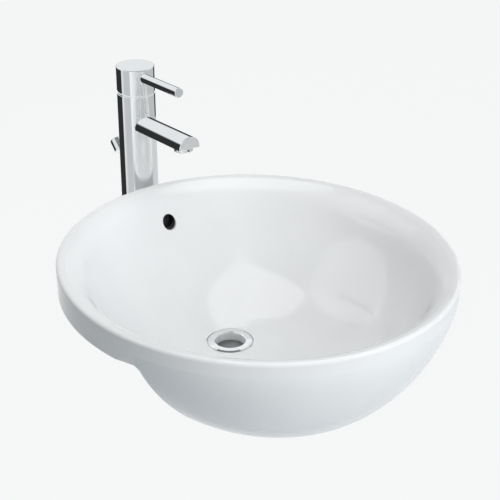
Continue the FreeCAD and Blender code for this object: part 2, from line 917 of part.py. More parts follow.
plug_seal = turned(
    "plug_seal",
    ("0", "drain_back", "-flange_top_drop - seat_drop"),
    [
        ("plug_neck", "0"),
        ("plug_radius - 0.4", "0"),
        ("plug_radius - 0.4", "2"),
        ("plug_neck", "2"),
    ],
)

# The strap that hangs from the lift rod and carries the pivot rod's outer end.
STRAP_Y = "lift_back - 6"
THUMB_UP = "-(strap_top_drop + strap_bend_drop) / 2"
LOW_Y = f"{BALL_Y} + pivot_reach - strap_thick / 2"
linkage_strap = new_body("linkage_strap", ("0", "0", "0"))
strap_sketch = new_sketch(linkage_strap, "YZ_Plane")
polygon(
    strap_sketch,
    [
        (STRAP_Y, "-strap_top_drop"),
        (f"{STRAP_Y} + strap_thick", "-strap_top_drop"),
        (f"{STRAP_Y} + strap_thick", "-strap_bend_drop"),
        (f"{LOW_Y} + strap_thick", "-port_drop + strap_knee"),
        (f"{LOW_Y} + strap_thick", "-port_drop - 20"),
        (LOW_Y, "-port_drop - 20"),
        (LOW_Y, "-port_drop + strap_knee + 0.9"),
        (STRAP_Y, "-strap_bend_drop + 0.9"),
    ],
)
pad(linkage_strap, strap_sketch, "strap_width", both=True)
for tab_drop in ("strap_top_drop + 9", "strap_bend_drop - 9"):
    tab_sketch = new_sketch(linkage_strap, "XY_Plane", f"-({tab_drop})")
    rectangle(
        tab_sketch,
        "-strap_width / 2",
        "strap_width / 2",
        f"{STRAP_Y} + strap_thick / 2",
        "lift_back + 6",
    )
    pad(linkage_strap, tab_sketch, "strap_thick")
rod_hole_sketch = new_sketch(linkage_strap, "XY_Plane", "-strap_top_drop + 2")
circle(rod_hole_sketch, "0", "lift_back", "lift_radius")
pocket(linkage_strap, rod_hole_sketch, "strap_bend_drop - strap_top_drop + 4")
thumb_hole_sketch = new_sketch(linkage_strap, "XZ_Plane", f"-({STRAP_Y}) - 10")
circle(thumb_hole_sketch, "0", THUMB_UP, "2.5")
pocket(linkage_strap, thumb_hole_sketch, "40", both=True)
strap_hole_sketch = new_sketch(linkage_strap, "XZ_Plane", f"-({LOW_Y})")
for hole_up in ("12", "0", "-12"):
    circle(strap_hole_sketch, "0", f"-port_drop + {hole_up}", "strap_hole")
pocket(linkage_strap, strap_hole_sketch, "20", both=True)
strap_screw = turned(
    "strap_screw",
    ("0", "lift_back - 15", THUMB_UP),
    [
        ("0", "0"),
        ("thumb_radius - 0.6", "0"),
        ("thumb_radius", "0.6"),
        ("thumb_radius", "5.4"),
        ("thumb_radius - 0.6", "6"),
        ("2.5", "6"),
        ("2.5", "15 - lift_radius"),
        ("0", "15 - lift_radius"),
    ],
    turn=-90,
)
rod_clip = new_body("rod_clip", ("0", f"{BALL_Y} + pivot_reach", "-port_drop - 6"))
clip_sketch = new_sketch(rod_clip, "XY_Plane")
polygon(
    clip_sketch,
    [
        ("-6", "-strap_thick / 2 - 1"),
        ("10", "-strap_thick / 2 - 1"),
        ("10", "strap_thick / 2 + 1"),
        ("-6", "strap_thick / 2 + 1"),
        ("-6", "strap_thick / 2"),
        ("9", "strap_thick / 2"),
        ("9", "-strap_thick / 2"),
        ("-6", "-strap_thick / 2"),
    ],
)
pad(rod_clip, clip_sketch, "12")
clip_hole_sketch = new_sketch(rod_clip, "XZ_Plane")
circle(clip_hole_sketch, "0", "6", "clip_hole")
pocket(rod_clip, clip_hole_sketch, "40", both=True)

# The lift rod: upright inside the tap's back, bent out to the knob.
ARM_TURN = value("lift_arm_angle") - 90
lift_upright = cylinder(
    "lift_upright",
    "lift_radius",
    "lift_foot_drop + lift_bend",
    ("0", "lift_back", "-lift_foot_drop"),
)
lift_elbow = doc.addObject("Part::Sphere", "lift_elbow")
bind(lift_elbow, "Radius", "lift_radius")
place(lift_elbow, ("0", "lift_back", "lift_bend"))
lift_arm = cylinder(
    "lift_arm_bar", "lift_radius", "lift_arm", ("0", "lift_back", "lift_bend"), turn=ARM_TURN
)
lift_rod = joined("lift_rod", [lift_upright, lift_elbow, lift_arm])
KNOB_START = "(lift_arm - 10)"
lift_knob = turned(
    "lift_knob",
    (
        "0",
        f"lift_back + {KNOB_START} * cos(lift_arm_angle * 1deg)",
        f"lift_bend + {KNOB_START} * sin(lift_arm_angle * 1deg)",
    ),
    [
        ("lift_radius", "0"),
        ("knob_radius - 0.8", "0"),
        ("knob_radius", "0.8"),
        ("knob_radius", "knob_length - 0.8"),
        ("knob_radius - 0.8", "knob_length"),
        ("0", "knob_length"),
        ("0", "10"),
        ("lift_radius", "10"),
    ],
    turn=ARM_TURN,
)

# The tap's body: a column with the cartridge's chamber, the water ways and the rod's slot.
tap_body = turned(
    "tap_body",
    ("0", "tap_back", "tap_base"),
    [
        ("0", "0"),
        ("tap_radius", "0"),
        ("tap_radius", "tap_top - tap_base"),
        ("0", "tap_top - tap_base"),
    ],
)
chamber_sketch = new_sketch(tap_body, "XY_Plane", "tap_top - tap_base")
circle(chamber_sketch, "0", "0", "chamber_radius")
pocket(tap_body, chamber_sketch, "tap_top - chamber_floor")
inlet_sketch = new_sketch(tap_body, "XY_Plane", "chamber_floor - tap_base")
circle(inlet_sketch, "-inlet_side", "-inlet_front", "inlet_bore")
circle(inlet_sketch, "inlet_side", "-inlet_front", "inlet_bore")
pocket(tap_body, inlet_sketch)
thread_sketch = new_sketch(tap_body, "XY_Plane")
circle(thread_sketch, "-inlet_side", "-inlet_front", "inlet_thread")
circle(thread_sketch, "inlet_side", "-inlet_front", "inlet_thread")
pocket(tap_body, thread_sketch, "inlet_thread_depth", forward=True)
stud_sketch = new_sketch(tap_body, "XY_Plane")
circle(stud_sketch, "0", "-stud_front", "stud_radius")
pocket(tap_body, stud_sketch, "stud_depth", forward=True)
outlet_sketch = new_sketch(tap_body, "XY_Plane", "chamber_floor - tap_base")
circle(outlet_sketch, "0", "-outlet_front", "inlet_bore")
pocket(tap_body, outlet_sketch, "chamber_floor - way_height + 1")
way_sketch = new_sketch(tap_body, "XZ_Plane", "outlet_front - 2")
circle(way_sketch, "0", "way_height - tap_base", "way_radius")
pocket(tap_body, way_sketch, "2 * tap_radius", forward=True)
rod_slot_sketch = new_sketch(tap_body, "YZ_Plane")
rectangle(
    rod_slot_sketch, "lift_back - tap_back - 3.6", "tap_radius + 2", "-1", "rod_slot_top - tap_base"
)
pocket(tap_body, rod_slot_sketch, "rod_slot_width", both=True)
base_gasket = turned(
    "base_gasket",
    ("0", "tap_back", "ledge_top"),
    [
        ("gasket_bore", "0"),
        ("gasket_radius", "0"),
        ("gasket_radius", "tap_base - ledge_top"),
        ("gasket_bore", "tap_base - ledge_top"),
    ],
)
gasket_notch_sketch = new_sketch(base_gasket, "XY_Plane")
rectangle(
    gasket_notch_sketch, "-rod_slot_width / 2", "rod_slot_width / 2", "10", "gasket_radius + 2"
)
pocket(base_gasket, gasket_notch_sketch, forward=True)
tap_stud = turned(
    "tap_stud",
    ("0", "tap_back - stud_front", "-stud_drop"),
    [
        ("0", "0"),
        ("stud_radius", "0"),
        ("stud_radius", "tap_base + stud_depth + stud_drop"),
        ("0", "tap_base + stud_depth + stud_drop"),
    ],
)
LEDGE_UNDER = "ledge_top - ledge_thick"
tap_clamp_plate = new_body("tap_clamp_plate", ("0", "tap_back", f"{LEDGE_UNDER} - clamp_thick"))
clamp_sketch = new_sketch(tap_clamp_plate, "XY_Plane")
circle(clamp_sketch, "0", "0", "clamp_radius")
pad(tap_clamp_plate, clamp_sketch, "clamp_thick")
clamp_slot_sketch = new_sketch(tap_clamp_plate, "XY_Plane", "clamp_thick")
rectangle(clamp_slot_sketch, "-15", "15", "-7", "30")
pocket(tap_clamp_plate, clamp_slot_sketch)
clamp_hole_sketch = new_sketch(tap_clamp_plate, "XY_Plane", "clamp_thick")
circle(clamp_hole_sketch, "0", "-stud_front", "stud_radius")
pocket(tap_clamp_plate, clamp_hole_sketch)
stud_nut = new_body(
    "stud_nut",
    ("0", "tap_back - stud_front", f"{LEDGE_UNDER} - clamp_thick - stud_nut_height"),
)
stud_nut_sketch = new_sketch(stud_nut, "XY_Plane")
hexagon(stud_nut_sketch, "stud_nut_corner")
circle(stud_nut_sketch, "0", "0", "stud_radius")
pad(stud_nut, stud_nut_sketch, "stud_nut_height")

# The spout: a half-round bar, hollow, with the aerator under its end.
SPOUT_TURN = -value("spout_rise")
spout_bar = new_body("spout_bar", ("0", "tap_back", "spout_base"), turn=SPOUT_TURN)
spout_sketch = new_sketch(spout_bar, "XZ_Plane")
half = value("spout_width / 2")
side = value("spout_side")
spout_sketch.addGeometry(Part.LineSegment(Vector(-half, 0, 0), Vector(half, 0, 0)))
spout_sketch.addGeometry(Part.LineSegment(Vector(half, 0, 0), Vector(half, side, 0)))
spout_sketch.addGeometry(
    Part.ArcOfCircle(Part.Circle(Vector(0, side, 0), Vector(0, 0, 1), half), 0, math.pi)
)
spout_sketch.addGeometry(Part.LineSegment(Vector(-half, side, 0), Vector(-half, 0, 0)))
for first, second in ((0, 1), (1, 2), (2, 3), (3, 0)):
    spout_sketch.addConstraint(Sketcher.Constraint("Coincident", first, 2, second, 1))
fix(spout_sketch, 0, 1, "DistanceX", "-spout_width / 2")
fix(spout_sketch, 0, 1, "DistanceY", "0")
fix(spout_sketch, 0, 2, "DistanceX", "spout_width / 2")
fix(spout_sketch, 0, 2, "DistanceY", "0")
fix(spout_sketch, 2, 3, "DistanceX", "0")
fix(spout_sketch, 2, 3, "DistanceY", "spout_side")
fix(spout_sketch, 1, 2, "DistanceX", "spout_width / 2")
fix(spout_sketch, 1, 2, "DistanceY", "spout_side")
fix(spout_sketch, 3, 1, "DistanceY", "spout_side")
pad(spout_bar, spout_sketch, "spout_length")
spout_way_sketch = new_sketch(spout_bar, "XZ_Plane")
rectangle(spout_way_sketch, "-9", "9", "3.5", "11.5")
pocket(spout_bar, spout_way_sketch, "aerator_reach", forward=True)
aerator_hole_sketch = new_sketch(spout_bar, "XY_Plane")
circle(aerator_hole_sketch, "0", "-aerator_reach", "aerator_thread")
pocket(spout_bar, aerator_hole_sketch, "6.5", forward=True)
column_space = cylinder("column_space", "tap_radius", "200", ("0", "tap_back", "0"))
spout = minus("spout", spout_bar, column_space)
AERATOR = (
    "0",
    "tap_back - aerator_reach * cos(spout_rise * 1deg)",
    "spout_base + aerator_reach * sin(spout_rise * 1deg)",
)


def aerator_part(label, drop, profile):
    """A turned piece on the aerator's axis, a drop below the spout's underside."""
    where = (
        AERATOR[0],
        f"{AERATOR[1]} - ({drop}) * sin(spout_rise * 1deg)",
        f"{AERATOR[2]} - ({drop}) * cos(spout_rise * 1deg)",
    )
    return turned(label, where, profile, turn=SPOUT_TURN)


aerator_shell = aerator_part(
    "aerator_shell",
    "aerator_drop",
    [
        ("aerator_bore", "0"),
        ("aerator_radius - 0.6", "0"),
        ("aerator_radius", "0.6"),
        ("aerator_radius", "aerator_drop"),
        ("aerator_thread", "aerator_drop"),
        ("aerator_thread", "aerator_drop + 5"),
        ("aerator_bore", "aerator_drop + 5"),
    ],
)
notch_sketch = new_sketch(aerator_shell, "XZ_Plane")
rectangle(notch_sketch, "-1.6", "1.6", "-1", "aerator_drop - 1.5")
pocket(aerator_shell, notch_sketch, "4 * aerator_radius", both=True)
side_notch_sketch = new_sketch(aerator_shell, "YZ_Plane")
rectangle(side_notch_sketch, "-1.6", "1.6", "-1", "aerator_drop - 1.5")
pocket(aerator_shell, side_notch_sketch, "4 * aerator_radius", both=True)
aerator_core = aerator_part(
    "aerator_core",
    "aerator_drop - 1",
    [
        ("0", "0"),
        ("aerator_bore", "0"),
        ("aerator_bore", "aerator_drop + 3"),
        ("0", "aerator_drop + 3"),
    ],
)
core_sketch = new_sketch(aerator_core, "XY_Plane")
for ring_radius, hole_count in ((0.0, 1), (3.2, 6), (6.6, 12)):
    for index in range(hole_count):
        turn_angle = 2 * math.pi * index / hole_count
        circle(
            core_sketch,
            f"{ring_radius * math.cos(turn_angle):.5f}",
            f"{ring_radius * math.sin(turn_angle):.5f}",
            "1",
        )
pocket(aerator_core, core_sketch, forward=True)
aerator_seal = aerator_part(
    "aerator_seal",
    "-5",
    [
        ("7.4", "0"),
        ("aerator_thread", "0"),
        ("aerator_thread", "1.5"),
        ("7.4", "1.5"),
    ],
)

# The cartridge in the tap's chamber.
PORTS = (
    ("-inlet_side", "-inlet_front"),
    ("inlet_side", "-inlet_front"),
    ("0", "-outlet_front"),
)
cartridge_seals = new_body("cartridge_seals", ("0", "tap_back", "chamber_floor"))
seal_web_sketch = new_sketch(cartridge_seals, "XY_Plane")
for across, up in PORTS:
    circle(seal_web_sketch, across, up, "port_seal_radius")
    circle(seal_web_sketch, across, up, "inlet_bore + 0.3")
seal_pad = cartridge_seals.newObject("PartDesign::Pad", "cartridge_seals_pad")
seal_pad.AllowMultiFace = True
cartridge_seals.AllowCompound = True
seal_pad.Profile = seal_web_sketch
bind(seal_pad, "Length", "port_seal_thick")
doc.recompute()
HOUSING_FOOT = "chamber_floor + port_seal_thick"
HOUSING_HEIGHT = "21.5"
cartridge_housing = turned(
    "cartridge_housing",
    ("0", "tap_back", HOUSING_FOOT),
    [
        ("0", "0"),
        ("housing_radius", "0"),
        ("housing_radius", HOUSING_HEIGHT),
        ("rotor_neck + 0.3", HOUSING_HEIGHT),
        ("rotor_neck + 0.3", "18.5"),
        ("housing_bore", "18.5"),
        ("housing_bore", "housing_floor"),
        ("0", "housing_floor"),
    ],
)
housing_port_sketch = new_sketch(cartridge_housing, "XY_Plane")
for across, up in PORTS:
    circle(housing_port_sketch, across, up, "port_hole_radius")
pocket(cartridge_housing, housing_port_sketch, "housing_floor + 0.5", forward=True)
DISC_FOOT = f"{HOUSING_FOOT} + housing_floor"
fixed_disc = turned(
    "fixed_disc",
    ("0", "tap_back", DISC_FOOT),
    [
        ("0", "0"),
        ("fixed_disc_radius", "0"),
        ("fixed_disc_radius", "disc_thick"),
        ("0", "disc_thick"),
    ],
)
disc_port_sketch = new_sketch(fixed_disc, "XY_Plane")
for across, up in PORTS:
    circle(disc_port_sketch, across, up, "port_hole_radius - 0.2")
pocket(fixed_disc, disc_port_sketch, forward=True)
moving_disc = turned(
    "moving_disc",
    ("0", "tap_back", f"{DISC_FOOT} + disc_thick"),
    [
        ("0", "0"),
        ("moving_disc_radius", "0"),
        ("moving_disc_radius", "disc_thick"),
        ("stem_ball + 0.4", "disc_thick"),
        ("stem_ball + 0.4", "disc_thick - 3.6"),
        ("0", "disc_thick - 3.6"),
    ],
)
mix_sketch = new_sketch(moving_disc, "XY_Plane")
circle(mix_sketch, "0", "-6.4", "2.6")
pocket(moving_disc, mix_sketch, "2", forward=True)
ROTOR_FOOT = f"{DISC_FOOT} + 2 * disc_thick"
PIVOT_UP = f"pivot_height - ({ROTOR_FOOT})"
cartridge_rotor = turned(
    "cartridge_rotor",
    ("0", "tap_back", ROTOR_FOOT),
    [
        ("0", "0"),
        ("rotor_radius", "0"),
        ("rotor_radius", "7.7"),
        ("rotor_neck", "7.7"),
        ("rotor_neck", "10.8"),
        ("0", "10.8"),
    ],
)
rotor_slot_sketch = new_sketch(cartridge_rotor, "XY_Plane")
rectangle(rotor_slot_sketch, "-stem_side / 2 - 0.6", "stem_side / 2 + 0.6", "-9.5", "9.5")
pocket(cartridge_rotor, rotor_slot_sketch, forward=True)
pin_hole_sketch = new_sketch(cartridge_rotor, "YZ_Plane")
circle(pin_hole_sketch, "0", PIVOT_UP, "pin_radius")
pocket(cartridge_rotor, pin_hole_sketch, "pin_length", both=True)
stem_pin = doc.addObject("Part::Cylinder", "stem_pin")
stem_pin.Placement = Placement(Vector(0, 0, 0), Rotation(Vector(0, 1, 0), 90))
bind(stem_pin, "Radius", "pin_radius")
bind(stem_pin, "Height", "pin_length")
for axis, text in zip("xyz", ("-pin_length / 2", "tap_back", "pivot_height")):
    bind(stem_pin, f"Placement.Base.{axis}", text)

# The stem: square, tilting on the pin, with a ball that pushes the moving disc.
STEM_FOOT = "pivot_height - stem_ball_drop"
cartridge_stem = new_body("cartridge_stem", ("0", "tap_back", STEM_FOOT))
stem_sketch = new_sketch(cartridge_stem, "XY_Plane", "stem_ball_drop - 4")
rectangle(stem_sketch, "-stem_side / 2", "stem_side / 2", "-stem_side / 2", "stem_side / 2")
pad(cartridge_stem, stem_sketch, f"stem_top - pivot_height + 4")
neck_sketch = new_sketch(cartridge_stem, "XY_Plane")
circle(neck_sketch, "0", "0", "1.5")
pad(cartridge_stem, neck_sketch, "stem_ball_drop - 3")
ball_profile = new_sketch(cartridge_stem, "XZ_Plane")
ball_size = value("stem_ball")
ball_profile.addGeometry(
    Part.ArcOfCircle(
        Part.Circle(Vector(0, 0, 0), Vector(0, 0, 1), ball_size), -math.pi / 2, math.pi / 2
    )
)
ball_profile.addGeometry(Part.LineSegment(Vector(0, ball_size, 0), Vector(0, -ball_size, 0)))
ball_profile.addConstraint(Sketcher.Constraint("Coincident", 0, 2, 1, 1))
ball_profile.addConstraint(Sketcher.Constraint("Coincident", 1, 2, 0, 1))
ball_profile.addConstraint(Sketcher.Constraint("PointOnObject", 1, 1, -2))
ball_profile.addConstraint(Sketcher.Constraint("Coincident", 0, 3, -1, 1))
ball_rule = ball_profile.addConstraint(Sketcher.Constraint("Radius", 0, ball_size))
bind(ball_profile, f"Constraints[{ball_rule}]", "stem_ball")
stem_ball_solid = cartridge_stem.newObject("PartDesign::Revolution", "stem_ball_turned")
stem_ball_solid.Profile = ball_profile
stem_ball_solid.ReferenceAxis = (ball_profile, ["V_Axis"])
stem_ball_solid.Angle = 360.0
doc.recompute()
stem_hole_sketch = new_sketch(cartridge_stem, "YZ_Plane")
circle(stem_hole_sketch, "0", "stem_ball_drop", "pin_radius + 0.3")
pocket(cartridge_stem, stem_hole_sketch, "40", both=True)

# The bonnet that holds the cartridge down; its dome is round about the tilting pin.
BONNET_FOOT = f"{HOUSING_FOOT} + {HOUSING_HEIGHT}"
DOME_CENTRE = value(f"pivot_height - ({BONNET_FOOT})")
dome_points = []
dome_start = value(f"tap_top + bonnet_flange_thick - ({BONNET_FOOT})") - DOME_CENTRE
dome_end = math.sqrt(value("bonnet_dome") ** 2 - value("bonnet_bore") ** 2)
DOME_STEPS = 5
for index in range(DOME_STEPS + 1):
    height = dome_start + (dome_end - dome_start) * index / DOME_STEPS
    reach = math.sqrt(value("bonnet_dome") ** 2 - height**2)
    dome_points.append((f"bonnet_dome * {reach / value('bonnet_dome'):.6f}", height + DOME_CENTRE))
bonnet = turned(
    "bonnet",
    ("0", "tap_back", BONNET_FOOT),
    [
        ("bonnet_bore", "0"),
        ("chamber_radius", "0"),
        ("chamber_radius", f"tap_top - ({BONNET_FOOT})"),
        ("bonnet_flange", f"tap_top - ({BONNET_FOOT})"),
        ("bonnet_flange", f"tap_top + bonnet_flange_thick - ({BONNET_FOOT})"),
    ]
    + [(reach, f"{height:.5f}") for reach, height in dome_points[:-1]]
    + [("bonnet_bore", f"{dome_points[-1][1]:.5f}")],
)

# The handle: cap, lever and the screw that holds the cap on the stem.
cap_blank = turned(
    "cap_blank",
    ("0", "tap_back", "cap_bottom"),
    [
        ("cap_radius", "0"),
        ("cap_radius", "cap_top - cap_bottom - 0.8"),
        ("cap_radius - 0.8", "cap_top - cap_bottom"),
        ("0", "cap_top - cap_bottom"),
        ("0", "hub_bottom - cap_bottom"),
        ("hub_radius", "hub_bottom - cap_bottom"),
        ("hub_radius", "cap_top - cap_roof - cap_bottom"),
        ("cap_bore", "cap_top - cap_roof - cap_bottom"),
        ("cap_bore", "0"),
    ],
)
slant_sketch = new_sketch(cap_blank, "YZ_Plane")
polygon(
    slant_sketch,
    [
        ("-cap_radius - 1", "-1"),
        ("cap_radius + 1", "-1"),
        ("cap_radius + 1", "cap_slant * 1.02"),
        ("-cap_radius - 1", "-cap_slant * 0.02"),
    ],
)
pocket(cap_blank, slant_sketch, "4 * cap_radius", both=True)
boss_sketch = new_sketch(cap_blank, "XZ_Plane", "hub_radius - 2")
rectangle(
    boss_sketch, "-7.5", "7.5", "hub_bottom + 3 - cap_bottom", "cap_top - cap_roof - cap_bottom + 1"
)
pad(cap_blank, boss_sketch, "cap_bore - hub_radius + 2.4")
socket_sketch = new_sketch(cap_blank, "XY_Plane", "hub_bottom - cap_bottom")
rectangle(socket_sketch, "-stem_side / 2", "stem_side / 2", "-stem_side / 2", "stem_side / 2")
pocket(cap_blank, socket_sketch, "stem_top - hub_bottom + 0.4", forward=True)
screw_hole_sketch = new_sketch(cap_blank, "XZ_Plane")
circle(screw_hole_sketch, "0", "screw_height - cap_bottom", "screw_radius")
pocket(cap_blank, screw_hole_sketch)
LEVER_TURN = 90 - value("lever_rise")


def along_lever(distance):
    """A point on the lever's axis, a distance in front of the tap's axis."""
    return (
        "0",
        f"tap_back - ({distance}) * cos(lever_rise * 1deg)",
        f"lever_axis + ({distance}) * sin(lever_rise * 1deg)",
    )


lever_socket = cylinder(
    "lever_socket", "lever_radius", "20", along_lever("cap_radius - 2"), turn=LEVER_TURN
)
spigot_socket = cylinder(
    "spigot_socket",
    "spigot_radius",
    "cap_radius - 12",
    along_lever("12"),
    turn=LEVER_TURN,
)
lever_sockets = joined("lever_sockets", [lever_socket, spigot_socket])
handle_cap = minus("handle_cap", cap_blank, lever_sockets)
lever_pin = turned(
    "lever_pin",
    along_lever("12"),
    [
        ("0", "0"),
        ("spigot_radius", "0"),
        ("spigot_radius", "cap_radius - 14"),
        ("lever_radius", "cap_radius - 14"),
        ("lever_radius", "lever_end - 12.6"),
        ("lever_radius - 0.6", "lever_end - 12"),
        ("0", "lever_end - 12"),
    ],
    turn=LEVER_TURN,
)
handle_screw = turned(
    "handle_screw",
    ("0", "tap_back + stem_side / 2", "screw_height"),
    [
        ("0", "0"),
        ("screw_radius", "0"),
        ("screw_radius", "7"),
        ("0", "7"),
    ],
    turn=-90,
)
socket_head_sketch = new_sketch(handle_screw, "XY_Plane", "7")
hexagon(socket_head_sketch, "1.4")
pocket(handle_screw, socket_head_sketch, "3")
doc.recompute()

NODES = [
    basin_bowl,
    waste_body,
    waste_flange_seal,
    waste_lower_seal,
    waste_washer,
    waste_lock_nut,
    waste_tail,
    tail_seal,
    pivot_rod,
    pivot_seal,
    pivot_nut,
    waste_plug,
    plug_seal,
    linkage_strap,
    strap_screw,
    rod_clip,
    lift_rod,
    lift_knob,
    tap_body,
    base_gasket,
    tap_stud,
    tap_clamp_plate,
    stud_nut,
    spout,
    aerator_shell,
    aerator_core,
    aerator_seal,
    cartridge_seals,
    cartridge_housing,
    fixed_disc,
    moving_disc,
    cartridge_rotor,
    stem_pin,
    cartridge_stem,
    bonnet,
    handle_cap,
    lever_pin,
    handle_screw,
]

for thing in doc.Objects:
    if "Invalid" in thing.State or "Error" in thing.State:
        raise RuntimeError(f"{thing.Label} is {thing.State}")
os.makedirs("parts", exist_ok=True)
for node in NODES:
    shape = node.Shape
    if shape.isNull() or not shape.isValid() or not shape.Solids:
        raise RuntimeError(f"{node.Label} has no valid solid")
    shape.exportStep(f"parts/{node.Label}.step")
    limits = shape.BoundBox
    print(
        f"{node.Label}: {len(shape.Solids)} solid(s), {shape.Volume / 1000:.2f} cm3,",
        f"z {limits.ZMin:.1f} to {limits.ZMax:.1f}, y {limits.YMin:.1f} to {limits.YMax:.1f}",
    )
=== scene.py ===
# %% [markdown]
# # A semi-recessed basin with its tap
#
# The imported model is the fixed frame. Its nodes are in metres: the basin's skirt stands on z = 0, and
# the front of the basin looks towards -Y. The cells below give each piece its finish, rebuild the
# chrome that shows with softened edges, and set up a plain studio.

# %% The frame
import json

import bmesh
import bpy
import numpy as np
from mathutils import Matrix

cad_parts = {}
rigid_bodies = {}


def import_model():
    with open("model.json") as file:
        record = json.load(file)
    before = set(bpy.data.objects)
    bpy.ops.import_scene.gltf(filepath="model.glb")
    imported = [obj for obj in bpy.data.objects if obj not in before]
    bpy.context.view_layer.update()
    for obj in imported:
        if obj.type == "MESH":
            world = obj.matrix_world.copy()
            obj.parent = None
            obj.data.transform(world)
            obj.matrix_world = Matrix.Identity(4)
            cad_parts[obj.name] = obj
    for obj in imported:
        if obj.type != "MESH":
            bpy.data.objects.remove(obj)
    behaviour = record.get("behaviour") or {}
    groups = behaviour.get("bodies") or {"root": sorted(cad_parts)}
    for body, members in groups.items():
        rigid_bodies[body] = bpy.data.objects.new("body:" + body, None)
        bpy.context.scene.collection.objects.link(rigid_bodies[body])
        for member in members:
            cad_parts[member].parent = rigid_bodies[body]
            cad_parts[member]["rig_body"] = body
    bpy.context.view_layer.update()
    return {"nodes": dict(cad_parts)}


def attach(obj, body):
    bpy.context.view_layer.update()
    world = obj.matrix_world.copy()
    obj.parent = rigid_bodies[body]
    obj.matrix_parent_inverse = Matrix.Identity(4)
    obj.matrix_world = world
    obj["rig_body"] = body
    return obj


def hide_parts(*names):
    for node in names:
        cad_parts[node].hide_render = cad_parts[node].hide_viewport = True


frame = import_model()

nodes = frame["nodes"]

# %% [markdown]
# ## Materials
#
# Every finish is made of nodes, so that it has no seams and needs no pictures. A finish could be wired
# by hand in the shader editor. Written as code, it is mostly the same few steps again and again, and a
# small set of helpers keeps each recipe to the lines that differ.


# %% Nodes and noise
def new_material(name):
    """An empty material with a shader and an output joined up."""
    material = bpy.data.materials.new(name)
    material.use_nodes = True
    shader = material.node_tree.nodes["Principled BSDF"]
    return material, material.node_tree, shader


def add(tree, kind, **settings):
    """A node of one kind with its properties set."""
    node = tree.nodes.new(kind)
    for key, setting in settings.items():
        setattr(node, key, setting)
    return node


def noise(tree, scale, detail=2.0):
    """Noise in the object's own coordinates, in turns per metre."""
    place = add(tree, "ShaderNodeTexCoord")
    texture = add(tree, "ShaderNodeTexNoise")
    texture.inputs["Scale"].default_value = scale
    texture.inputs["Detail"].default_value = detail
    tree.links.new(place.outputs["Object"], texture.inputs["Vector"])
    return texture.outputs["Fac"]


print("nodes and noise ready")


# %% Colour, number and relief
def ramp(tree, factor, low, high, start=0.3, stop=0.7):
    """A colour that goes from low to high as the factor goes from start to stop."""
    node = add(tree, "ShaderNodeValToRGB")
    node.color_ramp.elements[0].position = start
    node.color_ramp.elements[1].position = stop
    node.color_ramp.elements[0].color = (*low, 1.0)
    node.color_ramp.elements[1].color = (*high, 1.0)
    tree.links.new(factor, node.inputs["Fac"])
    return node.outputs["Color"]


def spread(tree, factor, low, high, start=0.0, stop=1.0):
    """A number that goes from low to high as the factor goes from start to stop."""
    node = add(tree, "ShaderNodeMapRange")
    node.inputs["From Min"].default_value = start
    node.inputs["From Max"].default_value = stop
    node.inputs["To Min"].default_value = low
    node.inputs["To Max"].default_value = high
    tree.links.new(factor, node.inputs["Value"])
    return node.outputs["Result"]


def relief(tree, shader, height, strength, depth):
    """A bump of one depth in metres on the shader."""
    bump = add(tree, "ShaderNodeBump")
    bump.inputs["Strength"].default_value = strength
    bump.inputs["Distance"].default_value = depth
    tree.links.new(height, bump.inputs["Height"])
    tree.links.new(bump.outputs["Normal"], shader.inputs["Normal"])


print("colour, number and relief ready")

# %% [markdown]
# ## Painted shade inside the overflow
#
# The overflow is a hole in the bowl's rear wall that leads to a channel inside the clay. A few
# millimetres in, the colour is painted near black and the gloss is taken off, as painted shade for the
# deep, unlit channel. A second object could stand for the dark inside. Here the one material decides by
# place: a point belongs to the channel where it lies behind the slanting wall and within a box round the
# hole.

# %% Inside the overflow
OVERFLOW = (0.0, 0.2077, -0.005)
WALL_SLOPE = 0.64
# Depths behind the wall, in metres, over which the painted shade of the channel fades in.
PAINTED_SHADE_FADE = (0.002, 0.004)
CHANNEL_DEPTH = 0.030
CHANNEL_HALF = 0.0135
CHANNEL_FOOT, CHANNEL_TOP = -0.022, 0.0117


def within(tree, value, low, high):
    """1 where a number lies between two limits: no further from their middle than half the span."""
    test = add(tree, "ShaderNodeMath", operation="COMPARE")
    tree.links.new(value, test.inputs[0])
    test.inputs[1].default_value = (low + high) / 2
    test.inputs[2].default_value = (high - low) / 2
    return test.outputs[0]


def product(tree, *factors):
    """The product of several node outputs."""
    total = factors[0]
    for factor in factors[1:]:
        step = add(tree, "ShaderNodeMath", operation="MULTIPLY")
        tree.links.new(total, step.inputs[0])
        tree.links.new(factor, step.inputs[1])
        total = step.outputs[0]
    return total


def from_point(tree, point):
    """The place of each surface point as seen from one point of the object."""
    place = add(tree, "ShaderNodeTexCoord")
    away = add(tree, "ShaderNodeVectorMath", operation="SUBTRACT")
    tree.links.new(place.outputs["Object"], away.inputs[0])
    away.inputs[1].default_value = point
    return away.outputs[0]


def inside_overflow(tree):
    """1 in the overflow's bore and channel, 0 elsewhere.

    The depth behind the bowl's wall is how far back a point lies, less the slope times its height.
    """
    away = from_point(tree, OVERFLOW)
    depth = add(tree, "ShaderNodeVectorMath", operation="DOT_PRODUCT")
    tree.links.new(away, depth.inputs[0])
    depth.inputs[1].default_value = (0.0, 1.0, -WALL_SLOPE)
    fade = spread(tree, depth.outputs["Value"], 0.0, 1.0, *PAINTED_SHADE_FADE)
    parts = add(tree, "ShaderNodeSeparateXYZ")
    tree.links.new(away, parts.inputs[0])
    return product(
        tree,
        fade,
        within(tree, depth.outputs["Value"], 0.0, CHANNEL_DEPTH),
        within(tree, parts.outputs["X"], -CHANNEL_HALF, CHANNEL_HALF),
        within(tree, parts.outputs["Z"], CHANNEL_FOOT, CHANNEL_TOP),
    )


print("overflow at", OVERFLOW)

# %% [markdown]
# ## White glaze
#
# Sanitary ware is fired clay under a thick, clear gloss. It looks even, yet it is faintly cloudy, and
# its surface keeps a slow ripple that bends the edges of reflections. A flat white would look like
# plastic. Wide noise gives the cloud, finer noise the polish, and a bump a tenth of a millimetre deep
# the ripple.

